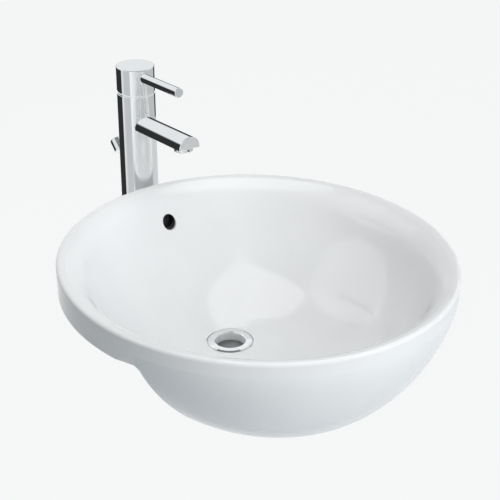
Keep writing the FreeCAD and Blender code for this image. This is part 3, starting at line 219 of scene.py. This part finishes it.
# %% Glaze
GLAZE_LOW, GLAZE_HIGH = (0.86, 0.865, 0.865), (0.88, 0.885, 0.885)
# Painted shade: the near-black colour of the overflow's channel, for the shade deep in the hole.
OVERFLOW_PAINTED_SHADE = (0.06, 0.06, 0.063)
GLAZE_IOR = 1.52
CLEAR_GLOSS = 0.5


def glaze():
    """White gloss over clay, with painted shade in the overflow's channel: dark and without gloss there.
    """
    material, tree, shader = new_material("white_glaze")
    cloud = ramp(tree, noise(tree, scale=14.0), GLAZE_LOW, GLAZE_HIGH)
    channel = inside_overflow(tree)
    # Painted shade: the overflow's channel is mixed to near black, standing in for the shade deep in the
    # hole.
    colour = add(tree, "ShaderNodeMix", data_type="RGBA")
    tree.links.new(channel, colour.inputs["Factor"])
    tree.links.new(cloud, colour.inputs["A"])
    colour.inputs["B"].default_value = (*OVERFLOW_PAINTED_SHADE, 1.0)
    tree.links.new(colour.outputs["Result"], shader.inputs["Base Color"])
    polish = spread(tree, noise(tree, scale=40.0), low=0.05, high=0.09)
    tree.links.new(polish, shader.inputs["Roughness"])
    # The gloss goes over the same place, as part of the painted shade in the channel.
    gloss = spread(tree, channel, low=CLEAR_GLOSS, high=0.0)
    tree.links.new(gloss, shader.inputs["Specular IOR Level"])
    shader.inputs["IOR"].default_value = GLAZE_IOR
    relief(tree, shader, noise(tree, scale=30.0, detail=1.0), strength=0.05, depth=0.0001)
    return material


finishes = {"glazed_white": glaze()}
print("finishes:", *finishes)

# %% [markdown]
# ## Metals
#
# The tap and the waste are plated with chrome, the fittings below are bare brass and steel. A metal is
# a mirror whose colour and polish vary a little, so one noise drives both. The waste needs two looks
# on one piece: its flange is a mirror, while the throat is dull and pale where water has run. The
# distance from the waste's axis tells the two apart, which saves cutting the piece in half.

# %% Metals
DRAIN_BACK = 0.0606
THROAT_RADIUS = 0.0193
LINING_FULL, LINING_ENDS = THROAT_RADIUS + 0.0001, THROAT_RADIUS + 0.0003
LINING_ROUGH = 0.3


def metal(name, low, high, polish, scale):
    """A metal whose colour and polish vary a little across the piece."""
    material, tree, shader = new_material(name)
    wear = noise(tree, scale, detail=4.0)
    tree.links.new(ramp(tree, wear, low, high), shader.inputs["Base Color"])
    tree.links.new(spread(tree, wear, *polish), shader.inputs["Roughness"])
    shader.inputs["Metallic"].default_value = 1.0
    return material


def waste_chrome():
    """Mirror chrome on the waste's flange, and a pale lining down its throat.

    The lining is where the distance from the waste's upright axis is no more than the throat's radius.
    """
    material = metal("waste_chrome", (0.80, 0.81, 0.82), (0.84, 0.85, 0.85), (0.0, 0.003), 30.0)
    tree = material.node_tree
    across = add(tree, "ShaderNodeVectorMath", operation="MULTIPLY")
    tree.links.new(from_point(tree, (0.0, DRAIN_BACK, 0.0)), across.inputs[0])
    across.inputs[1].default_value = (1.0, 1.0, 0.0)
    distance = add(tree, "ShaderNodeVectorMath", operation="LENGTH")
    tree.links.new(across.outputs[0], distance.inputs[0])
    lining = spread(tree, distance.outputs["Value"], 0.0, 1.0, LINING_ENDS, LINING_FULL)
    shader = tree.nodes["Principled BSDF"]
    polish = shader.inputs["Roughness"].links[0].from_socket
    rough = add(tree, "ShaderNodeMath", operation="MULTIPLY_ADD")
    tree.links.new(lining, rough.inputs[0])
    rough.inputs[1].default_value = LINING_ROUGH
    tree.links.new(polish, rough.inputs[2])
    tree.links.new(rough.outputs[0], shader.inputs["Roughness"])
    tree.links.new(spread(tree, lining, low=1.0, high=0.0), shader.inputs["Metallic"])
    return material


finishes["chrome_plate"] = metal("chrome", (0.90, 0.91, 0.92), (0.94, 0.95, 0.95), (0.0, 0.003), 30.0)
finishes["waste_chrome"] = waste_chrome()
# The plug's dark metal is partly its own grey finish and partly painted shade, for the plug sitting deep
# in the throat.
finishes["plug_metal_and_painted_shade"] = metal("plug_metal_and_painted_shade", (0.20, 0.205, 0.21), (0.27, 0.275, 0.28), (0.25, 0.40), 60.0)
finishes["bare_brass"] = metal("brass", (0.62, 0.44, 0.19), (0.74, 0.54, 0.26), (0.25, 0.45), 120.0)
finishes["plain_steel"] = metal("steel", (0.48, 0.49, 0.50), (0.60, 0.61, 0.62), (0.28, 0.45), 160.0)
print("finishes:", *finishes)

# %% [markdown]
# ## Rubber, plastic and disc ceramic
#
# Seals, the aerator's insert and the cartridge are matt and finely grained. The grain is far smaller
# than a pixel from afar, but it keeps a close view from looking bare.


# %% Matt materials
def dull(name, low, high, roughness, scale, depth):
    """A plain matt material with a fine grain."""
    material, tree, shader = new_material(name)
    grain = noise(tree, scale, detail=6.0)
    tree.links.new(ramp(tree, grain, low, high), shader.inputs["Base Color"])
    shader.inputs["Roughness"].default_value = roughness
    relief(tree, shader, grain, strength=0.3, depth=depth)
    return material


finishes["black_rubber"] = dull(
    "rubber", (0.016, 0.016, 0.017), (0.03, 0.03, 0.031), roughness=0.65, scale=900.0, depth=0.0001
)
finishes["dark_plastic"] = dull(
    "dark_plastic", (0.02, 0.02, 0.021), (0.035, 0.035, 0.036), roughness=0.5, scale=700.0, depth=0.00004
)
finishes["pale_plastic"] = dull(
    "plastic", (0.66, 0.66, 0.63), (0.72, 0.72, 0.69), roughness=0.42, scale=700.0, depth=0.00004
)
finishes["disc_ceramic"] = dull(
    "disc", (0.78, 0.77, 0.72), (0.84, 0.83, 0.79), roughness=0.2, scale=500.0, depth=0.00002
)
print("finishes:", *finishes)

# %% [markdown]
# ## Who wears what
#
# One table gives each node its finish. Written out by piece, it is easy to check against the real
# thing, and the last line tells whether a node was forgotten.

# %% Finishes by node
WORN_BY = {
    "glazed_white": ["basin_bowl"],
    "chrome_plate": [
        "lift_rod", "lift_knob", "tap_body", "spout", "aerator_shell", "handle_cap", "lever_pin",
        "bonnet",
    ],
    "waste_chrome": ["waste_body"],
    # The plug's finish is darkened partly as painted shade of the throat.
    "plug_metal_and_painted_shade": ["waste_plug"],
    "bare_brass": ["waste_lock_nut", "waste_tail", "pivot_nut", "stud_nut", "cartridge_stem"],
    "plain_steel": [
        "waste_washer", "pivot_rod", "linkage_strap", "strap_screw", "rod_clip", "tap_stud",
        "tap_clamp_plate", "stem_pin", "handle_screw",
    ],
    "black_rubber": [
        "waste_flange_seal", "waste_lower_seal", "tail_seal", "plug_seal", "pivot_seal",
        "base_gasket", "aerator_seal", "cartridge_seals",
    ],
    "dark_plastic": ["aerator_core"],
    "pale_plastic": ["cartridge_housing", "cartridge_rotor"],
    "disc_ceramic": ["fixed_disc", "moving_disc"],
}
for slot, wearers in WORN_BY.items():
    for wearer in wearers:
        nodes[wearer].data.materials.clear()
        nodes[wearer].data.materials.append(finishes[slot])
forgotten = set(nodes) - {wearer for wearers in WORN_BY.values() for wearer in wearers}
print(len(nodes) - len(forgotten), "nodes have a finish, without one:", sorted(forgotten))

# %% [markdown]
# ## Chrome with softened edges
#
# A plated edge is never sharp: polishing leaves it round by half a millimetre, and that round is the
# thin line of light on every chrome fitting. The cap, the lever, the knob and the spout are rebuilt as
# smooth surfaces with such edges. Three of them are turned, so one profile swept round an axis makes
# each. The spout is one section pushed along a line. A bevel on the solids' triangles would leave
# uneven strips.


# %% Surfaces from grids
def surface(name, points, wrap=False):
    """A mesh over a grid of points. With wrap, the last column joins the first."""
    rows, columns = points.shape[:2]
    steps = columns if wrap else columns - 1
    row, column = np.meshgrid(np.arange(rows - 1), np.arange(steps), indexing="ij")
    after = (column + 1) % columns
    here, above = row * columns, (row + 1) * columns
    quads = np.stack([here + column, here + after, above + after, above + column], axis=-1)
    mesh = bpy.data.meshes.new(name)
    mesh.from_pydata(points.reshape(-1, 3), [], quads.reshape(-1, 4))
    shell = bmesh.new()
    shell.from_mesh(mesh)
    bmesh.ops.remove_doubles(shell, verts=shell.verts, dist=1e-7)
    shell.to_mesh(mesh)
    shell.free()
    mesh.polygons.foreach_set("use_smooth", np.ones(len(mesh.polygons), bool))
    thing = bpy.data.objects.new(name, mesh)
    bpy.context.scene.collection.objects.link(thing)
    return thing


print("surfaces ready")


# %% Rounded lines and turned pieces
def rounded(corners, steps=7):
    """A line through (across, along, radius) corners, each an arc that touches both sides.

    The arc starts where the two sides are radius / tan(half the corner's angle) from the corner. A
    point just outside each end of the arc keeps the flat sides flat.
    """
    points = np.array([corner[:2] for corner in corners], float)
    radii = [corner[2] for corner in corners[1:]]
    line = [points[:1]]
    for before, here, after, radius in zip(points, points[1:], points[2:], radii):
        back = (before - here) / np.linalg.norm(before - here)
        on = (after - here) / np.linalg.norm(after - here)
        if radius == 0:
            line.append(here[None])
            continue
        half = np.arccos(np.clip(back @ on, -1.0, 1.0)) / 2
        reach = radius / np.tan(half)
        middle = here + (back + on) / np.linalg.norm(back + on) * radius / np.sin(half)
        first, last = here + back * reach - middle, here + on * reach - middle
        turn = np.arctan2(first[0] * last[1] - first[1] * last[0], first @ last)
        angle = turn * np.linspace(0.0, 1.0, steps)[:, None]
        arc = middle + np.cos(angle) * first + np.sin(angle) * np.array([-first[1], first[0]])
        outside = reach + radius / 3
        line += [(here + back * outside)[None], arc, (here + on * outside)[None]]
    return np.concatenate(line + [points[-1:]])


def turned(name, profile, foot, axis, side, count=128):
    """A profile of (radius, height) swept round an axis from its foot; heights run along the axis."""
    axis, side = np.asarray(axis, float), np.asarray(side, float)
    angle = np.linspace(0.0, 2 * np.pi, count, endpoint=False)[None, :, None]
    out = np.cos(angle) * side + np.sin(angle) * np.cross(axis, side)
    points = np.asarray(foot) + profile[:, :1, None] * out + profile[:, 1:, None] * axis
    return surface(name, points, wrap=True)


def dressed(piece, node, slot="chrome_plate"):
    """The piece stands for one node, moves with its body and takes its finish."""
    piece.data.materials.append(finishes[slot])
    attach(piece, nodes[node]["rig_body"])
    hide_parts(node)
    print(piece.name, len(piece.data.polygons), "faces for", node)


RIGHT, UP = (1, 0, 0), (0, 0, 1)
print("turned pieces ready")

# %% [markdown]
# ## Cap
#
# The cap is the hollow top of the column that the lever turns and tips. Its lower rim is cut on a
# slant, higher at the back, so that it clears the column when the lever is raised. A slanting cut could
# be a boolean. Here the cap is turned with a level rim, and the points near the rim are then lifted in
# proportion to how far back they lie, which keeps the soft edge all round.

# %% Cap
TAP_BACK = 0.286
CAP_RADIUS, CAP_BORE = 0.025, 0.0227
CAP_FOOT, CAP_CEILING, CAP_TOP = 0.1556, 0.1840, 0.1904
SLANT_RISE = 0.0039
SLANT_ENDS = 0.172

cap_line = rounded(
    [
        (0.0, CAP_CEILING, 0), (CAP_BORE, CAP_CEILING, 0.0005), (CAP_BORE, CAP_FOOT, 0.0003),
        (CAP_RADIUS, CAP_FOOT, 0.0005), (CAP_RADIUS, CAP_TOP, 0.0009), (0.0, CAP_TOP, 0),
    ]
)
cap = turned("cap", cap_line, (0.0, TAP_BACK, 0.0), UP, RIGHT)
cap_points = np.empty(len(cap.data.vertices) * 3, np.float32)
cap.data.vertices.foreach_get("co", cap_points)
cap_points = cap_points.reshape(-1, 3)
backward = (cap_points[:, 1] - TAP_BACK) / (2 * CAP_RADIUS) + 0.5
near_foot = np.clip((SLANT_ENDS - cap_points[:, 2]) / (SLANT_ENDS - CAP_FOOT), 0.0, 1.0)
cap_points[:, 2] += SLANT_RISE * backward * near_foot
cap.data.vertices.foreach_set("co", cap_points.ravel())
cap.data.update()
dressed(cap, "handle_cap")

# %% [markdown]
# ## Lever
#
# The lever is a round pin with a thinner shank that is screwed into the cap. It points to the front and
# rises a little. It is turned like the cap, about its own sloping axis. On the real tap no image of it
# shows on the spout below, so it is left out of mirror reflections.

# %% Lever
LEVER_RISE = np.radians(4.3)
LEVER_HEIGHT = 0.1776
LEVER_RADIUS, SHANK_RADIUS = 0.006, 0.004
SHANK_FOOT, SHANK_END, LEVER_TIP = 0.012, 0.023, 0.1128

lever_axis = (0.0, -np.cos(LEVER_RISE), np.sin(LEVER_RISE))
lever_line = rounded(
    [
        (0.0, SHANK_FOOT, 0), (SHANK_RADIUS, SHANK_FOOT, 0), (SHANK_RADIUS, SHANK_END, 0),
        (LEVER_RADIUS, SHANK_END, 0.0004), (LEVER_RADIUS, LEVER_TIP, 0.0008), (0.0, LEVER_TIP, 0),
    ]
)
lever = turned("lever", lever_line, (0.0, TAP_BACK, LEVER_HEIGHT), lever_axis, RIGHT, count=96)
lever.visible_glossy = False
dressed(lever, "lever_pin")

# %% [markdown]
# ## Knob
#
# Behind the column a bent rod works the plug, and a small drum at its upper end is what the hand takes.
# It is turned about the rod's upper arm, with a blind bore that the rod's end fills.

# %% Knob
ARM_RISE = np.radians(40.0)
ARM_LENGTH = 0.05
ROD_BEND_BACK, ROD_BEND_HEIGHT = 0.299, 0.0212
KNOB_RADIUS, KNOB_LENGTH = 0.008, 0.018
KNOB_BORE, BORE_DEPTH = 0.002, 0.010
KNOB_ROUND = 0.0011

knob_axis = (0.0, np.cos(ARM_RISE), np.sin(ARM_RISE))
knob_foot = (
    0.0,
    ROD_BEND_BACK + ARM_LENGTH * np.cos(ARM_RISE),
    ROD_BEND_HEIGHT + ARM_LENGTH * np.sin(ARM_RISE),
)
knob_line = rounded(
    [
        (0.0, BORE_DEPTH, 0), (KNOB_BORE, BORE_DEPTH, 0), (KNOB_BORE, 0.0, 0.0003),
        (KNOB_RADIUS, 0.0, KNOB_ROUND), (KNOB_RADIUS, KNOB_LENGTH, KNOB_ROUND), (0.0, KNOB_LENGTH, 0),
    ]
)
knob = turned("knob", knob_line, knob_foot, knob_axis, RIGHT, count=96)
dressed(knob, "lift_knob")

# %% [markdown]
# ## Spout
#
# The spout is a half-round bar with a flat underside, cut off straight at its end. It could be a curve
# with a bevel object, but then the end would stay sharp. As a stack of sections its outline can shrink
# over the last millimetre, which rounds the edge of the tip, and two more sections close each end flat.

# %% Spout
SPOUT_RISE = np.radians(4.6)
SPOUT_HEIGHT = 0.1076
SPOUT_HALF, SPOUT_SIDE = 0.0147, 0.002
SPOUT_ROOT, SPOUT_TIP = 0.018, 0.135
SPOUT_MIDDLE = np.array([0.0, 0.0075])
SPOUT_RUN = [SPOUT_ROOT, 0.022, 0.06, 0.10, 0.1338]
LOWER_ROUND, TIP_ROUND = 0.0007, 0.0008


def spout_section(inset, count=48):
    """Half round on two short sides, with soft lower edges, drawn inwards by an inset: across and up."""
    half = SPOUT_HALF - inset
    arch = np.linspace(0.0, np.pi, count)
    top = np.stack([half * np.cos(arch), SPOUT_SIDE + half * np.sin(arch)], axis=1)
    foot = rounded(
        [
            (-half, SPOUT_SIDE, 0), (-half, inset, LOWER_ROUND), (half, inset, LOWER_ROUND),
            (half, SPOUT_SIDE, 0),
        ]
    )
    return np.concatenate([top, foot[1:-1]])


def spout_points():
    """The section along the spout's line: a flat root, a straight run, a round edge and a flat tip.

    A point stands station * (cos, sin) of the rise along the line, and its height on the section is
    added at a right angle to that.
    """
    edge = np.linspace(0.0, np.pi / 2, 7)
    stations = np.concatenate([SPOUT_RUN, SPOUT_TIP - TIP_ROUND + TIP_ROUND * np.sin(edge)])
    insets = np.concatenate([np.zeros(len(SPOUT_RUN)), TIP_ROUND * (1 - np.cos(edge))])
    sections = np.stack([spout_section(inset) for inset in insets])
    root = [SPOUT_MIDDLE + (sections[0] - SPOUT_MIDDLE) * share for share in (0.0, 0.9)]
    tip = [SPOUT_MIDDLE + (sections[-1] - SPOUT_MIDDLE) * share for share in (0.9, 0.0)]
    sections = np.concatenate([np.stack(root), sections, np.stack(tip)])
    stations = np.concatenate([[SPOUT_ROOT] * 2, stations, [SPOUT_TIP] * 2])[:, None]
    across, up = sections[..., 0], sections[..., 1]
    back = TAP_BACK - stations * np.cos(SPOUT_RISE) - up * np.sin(SPOUT_RISE)
    height = SPOUT_HEIGHT + stations * np.sin(SPOUT_RISE) + up * np.cos(SPOUT_RISE)
    return np.stack([across, back, height], axis=-1)


spout = surface("spout_bar", spout_points(), wrap=True)
dressed(spout, "spout")

# %% [markdown]
# ## Camera
#
# The basin is seen from the left and above, with a long lens. A camera could be placed by eye. These
# numbers come from fitting the rim, the drain ring and the tap to the photograph, because a good fit of
# the view is what makes every other comparison possible.

# %% Camera
CAMERA_PLACE = (-0.765, -1.1397, 0.735)
CAMERA_TURN = (63.19, 0.0, -33.53)
LENS, SENSOR = 93.1, 36.0

camera_data = bpy.data.cameras.new("camera")
camera_data.lens = LENS
camera_data.sensor_width = SENSOR
camera = bpy.data.objects.new("camera", camera_data)
camera.location = CAMERA_PLACE
camera.rotation_euler = np.radians(CAMERA_TURN)
bpy.context.scene.collection.objects.link(camera)
bpy.context.scene.camera = camera
bpy.context.scene.view_settings.view_transform = "Standard"
print("camera at", tuple(camera.location))

# %% [markdown]
# ## Floor and backdrop
#
# The studio is one even pale grey. The floor lies well below the basin, where the floor of a room would
# be. More light would make both paler but would also wash out the glaze, so the paleness is shown to
# the camera and to reflections only, and the light that falls on the basin comes from elsewhere.

# %% Floor
BACKDROP = (0.922, 0.930, 0.930)
FLOOR = -0.85
FLOOR_HALF = 30.0
FLOOR_COLOUR = (0.395, 0.45, 0.49)
FLOOR_GLOW = 1.075
FLOOR_SHARE = 0.9


def larger(tree, first, second):
    """The larger of two node outputs."""
    node = add(tree, "ShaderNodeMath", operation="MAXIMUM")
    tree.links.new(first, node.inputs[0])
    tree.links.new(second, node.inputs[1])
    return node.outputs[0]


def seen_rays(tree):
    """1 for rays from the camera, off a mirror or through glass, and 0 for the rest."""
    path = add(tree, "ShaderNodeLightPath").outputs
    mirror = larger(tree, path["Is Camera Ray"], path["Is Glossy Ray"])
    return larger(tree, mirror, path["Is Transmission Ray"])


def floor_paint():
    """Pale paint: most of what the camera sees is the backdrop's own tone, the rest takes the shadow."""
    material, tree, shader = new_material("floor")
    shader.inputs["Base Color"].default_value = (*FLOOR_COLOUR, 1.0)
    shader.inputs["Roughness"].default_value = 0.9
    glow = add(tree, "ShaderNodeEmission")
    glow.inputs["Color"].default_value = (*BACKDROP, 1.0)
    glow.inputs["Strength"].default_value = FLOOR_GLOW
    mix = add(tree, "ShaderNodeMixShader")
    tree.links.new(spread(tree, seen_rays(tree), 0.0, FLOOR_SHARE), mix.inputs["Fac"])
    tree.links.new(shader.outputs[0], mix.inputs[1])
    tree.links.new(glow.outputs[0], mix.inputs[2])
    tree.links.new(mix.outputs[0], tree.nodes["Material Output"].inputs["Surface"])
    return material


reach = np.array([-FLOOR_HALF, FLOOR_HALF])
floor_points = np.stack(np.meshgrid(reach, reach) + [np.full((2, 2), FLOOR)], axis=-1)
floor = surface("floor", floor_points)
floor.data.materials.append(floor_paint())
print("floor at", FLOOR)

# %% [markdown]
# ## Fill light
#
# Light from all round softens the shadows of the lamps. An even fill would leave the glaze flat, so its
# strength slopes: a little more from some sides and less from others. The slopes were fitted to the
# tones of the bowl, one number for each of right, rear, up, left and front.

# %% Fill light
SKY_LEVEL = 0.53
SKY_RIGHT_REAR_UP = (0.173, -0.40, -0.223)
SKY_LEFT_FRONT_DOWN = (0.40, 0.034, 0.0)
FILL_COLOUR = (0.915, 0.985, 1.035)


def sky_strength(tree):
    """The fill's strength by direction: a level, plus each positive and negative part times its slope."""
    place = add(tree, "ShaderNodeTexCoord")
    level = add(tree, "ShaderNodeValue")
    level.outputs[0].default_value = SKY_LEVEL
    total = level.outputs[0]
    for side, slopes in (("MAXIMUM", SKY_RIGHT_REAR_UP), ("MINIMUM", SKY_LEFT_FRONT_DOWN)):
        half = add(tree, "ShaderNodeVectorMath", operation=side)
        tree.links.new(place.outputs["Generated"], half.inputs[0])
        half.inputs[1].default_value = (0.0, 0.0, 0.0)
        slope = add(tree, "ShaderNodeVectorMath", operation="DOT_PRODUCT")
        tree.links.new(half.outputs[0], slope.inputs[0])
        slope.inputs[1].default_value = slopes
        more = add(tree, "ShaderNodeMath", operation="ADD")
        tree.links.new(total, more.inputs[0])
        tree.links.new(slope.outputs["Value"], more.inputs[1])
        total = more.outputs[0]
    return total


world = bpy.data.worlds.new("studio")
bpy.context.scene.world = world
world.use_nodes = True
sky_tree = world.node_tree
seen_sky = sky_tree.nodes["Background"]
seen_sky.inputs["Color"].default_value = (*BACKDROP, 1.0)
fill_sky = add(sky_tree, "ShaderNodeBackground")
fill_sky.inputs["Color"].default_value = (*FILL_COLOUR, 1.0)
sky_tree.links.new(sky_strength(sky_tree), fill_sky.inputs["Strength"])
sky_mix = add(sky_tree, "ShaderNodeMixShader")
sky_tree.links.new(seen_rays(sky_tree), sky_mix.inputs["Fac"])
sky_tree.links.new(fill_sky.outputs[0], sky_mix.inputs[1])
sky_tree.links.new(seen_sky.outputs[0], sky_mix.inputs[2])
sky_tree.links.new(sky_mix.outputs[0], sky_tree.nodes["World Output"].inputs["Surface"])
print("fill light of level", SKY_LEVEL)

# %% [markdown]
# ## Soft lamps
#
# A studio lights glossy ware with large soft boxes, because a small lamp would leave a hard white spot
# on the glaze. Four round lamps, about as wide as they are far away, do that here. Their powers were
# fitted together with the fill. The one in front is kept out of reflections, where it would show as a
# disc.

# %% Soft lamps
LAMP_DISTANCE = 2.5
LAMP_SIZE = 2.4
BASIN_MIDDLE = np.array([0.0, 0.0, -0.03])


def soft_lamp(name, turn, lift, power):
    """A round lamp that faces the basin: turn in degrees from the front to the right, lift upwards."""
    turn, lift = np.radians(turn), np.radians(lift)
    data = bpy.data.lights.new(name, "AREA")
    data.shape = "DISK"
    data.size = LAMP_SIZE
    data.energy = power
    lamp = bpy.data.objects.new(name, data)
    level = np.cos(lift)
    towards = np.array([np.sin(turn) * level, -np.cos(turn) * level, np.sin(lift)])
    lamp.location = BASIN_MIDDLE + LAMP_DISTANCE * towards
    lamp.rotation_euler = (np.pi / 2 - lift, 0.0, turn)
    lamp.visible_camera = False
    bpy.context.scene.collection.objects.link(lamp)
    print(name, "lamp of", power, "W")
    return lamp


front_lamp = soft_lamp("front", turn=0.0, lift=16.0, power=42.0)
front_lamp.visible_glossy = False
soft_lamp("above", turn=0.0, lift=88.0, power=25.0)
soft_lamp("rear", turn=180.0, lift=16.0, power=5.0)
soft_lamp("rear_left", turn=225.0, lift=38.0, power=13.0)

# %% [markdown]
# ## The room that the chrome shows
#
# Chrome shows nothing but its surroundings: on a column, each side of the room becomes one upright
# stripe. A room with walls would also change the light on the basin. So one large round card stands for
# the walls and the ceiling, and only mirror reflections that meet its inner side see it. Its tones run
# round the tap from the camera's side to the left, in three bands that differ in height.


# %% Card light
def card_light():
    """Light of the tone stored at each point of the card, seen by mirror rays from within."""
    material, tree, shader = new_material("cards")
    tone = add(tree, "ShaderNodeAttribute", attribute_name="tone")
    glow = add(tree, "ShaderNodeEmission")
    tree.links.new(tone.outputs["Color"], glow.inputs["Color"])
    clear = add(tree, "ShaderNodeBsdfTransparent")
    path = add(tree, "ShaderNodeLightPath")
    side = add(tree, "ShaderNodeNewGeometry")
    inner = within(tree, side.outputs["Backfacing"], -0.5, 0.5)
    shown = product(tree, path.outputs["Is Singular Ray"], inner)
    mix = add(tree, "ShaderNodeMixShader")
    tree.links.new(shown, mix.inputs["Fac"])
    tree.links.new(clear.outputs[0], mix.inputs[1])
    tree.links.new(glow.outputs[0], mix.inputs[2])
    tree.links.new(mix.outputs[0], tree.nodes["Material Output"].inputs["Surface"])
    tree.nodes.remove(shader)
    return material


reflected = card_light()
print("card light ready")

# %% Tones of the room
LEFT_TONES = [
    (-22.0, 0.62), (28.0, 0.98), (31.0, 0.57), (66.0, 0.57),
    (80.0, 0.78), (87.0, 0.82), (89.0, 0.03), (180.0, 0.03),
]
LOW_TONES = [(-180.0, 0.68), (-28.0, 0.62)] + LEFT_TONES
MIDDLE_TONES = [
    (-180.0, 0.03), (-143.0, 0.03), (-141.0, 0.55), (-42.0, 0.53), (-28.0, 0.58),
] + LEFT_TONES
UPPER_TONES = [
    (-180.0, 0.84), (-64.0, 0.84), (-58.0, 0.57), (-10.0, 0.57), (-4.0, 0.84), (180.0, 0.84),
]
CEILING_TONE = 0.25
COOL = np.array([0.97, 1.0, 1.015, 1.0])

turns = np.linspace(-180.0, 179.999, 721)
low, middle, upper = (
    np.interp(turns, *np.array(tones).T) for tones in (LOW_TONES, MIDDLE_TONES, UPPER_TONES)
)
ceiling = np.full_like(turns, CEILING_TONE)
print("middle tones from", middle.min(), "to", middle.max())

# %% Room card
CARD_RADIUS, CEILING_EDGE, CEILING_HOLE = 1.2, 1.19, 0.01
TOWARDS_CAMERA = np.array([-0.5524, -0.8336, 0.0])
LEFT_OF_CAMERA = np.array([-0.8336, 0.5524, 0.0])
ROOM_ROWS = [
    (CARD_RADIUS, FLOOR + 0.001, low),
    (CARD_RADIUS, -0.340, low),
    (CARD_RADIUS, -0.330, middle),
    (CARD_RADIUS, 0.30, middle),
    (CARD_RADIUS, 0.45, upper),
    (CARD_RADIUS, 1.6, upper),
    (CEILING_EDGE, 1.601, ceiling),
    (CEILING_HOLE, 1.601, ceiling),
]


def bent_card(name, rows):
    """A card bent round the tap, from rows of (radius, height, tones by turn).

    A point stands radius * (cos, sin) of its turn away from the tap, from the camera's side to the
    left. Where two rows differ in radius, the card leans or lies between them.
    """
    radii, heights, tones = zip(*rows)
    turn = np.radians(turns)[:, None]
    ring = np.cos(turn) * TOWARDS_CAMERA + np.sin(turn) * LEFT_OF_CAMERA
    points = np.array(radii)[:, None, None] * ring + (0.0, TAP_BACK, 0.0)
    points = points + np.array(heights)[:, None, None] * (0.0, 0.0, 1.0)
    card = surface(name, points)
    colours = (np.stack(tones).reshape(-1, 1) * COOL).astype(np.float32)
    attribute = card.data.attributes.new("tone", "FLOAT_COLOR", "POINT")
    attribute.data.foreach_set("color", colours.ravel())
    card.data.materials.append(reflected)
    card.visible_camera = False
    card.visible_diffuse = False
    card.visible_shadow = False
    card.visible_transmission = False
    print(name, len(card.data.polygons), "faces")


bent_card("room_card", ROOM_ROWS)

# %% [markdown]
# ## What the spout's top shows
#
# The spout's top is a mirror that looks up at the column and the cap. In a narrow scene it would carry
# their dark image, while on the real one it is evenly pale. So the column, with all that sits in it, is
# kept out of mirror reflections, as the lever is.

# %% Column without its mirror image
COLUMN_NODES = (
    "tap_body", "handle_cap", "bonnet", "cartridge_seals", "cartridge_housing", "fixed_disc",
    "moving_disc", "cartridge_rotor", "stem_pin", "cartridge_stem", "handle_screw",
)
cap.visible_glossy = False
for inner in COLUMN_NODES:
    nodes[inner].visible_glossy = False
print(len(COLUMN_NODES), "nodes without a mirror image")
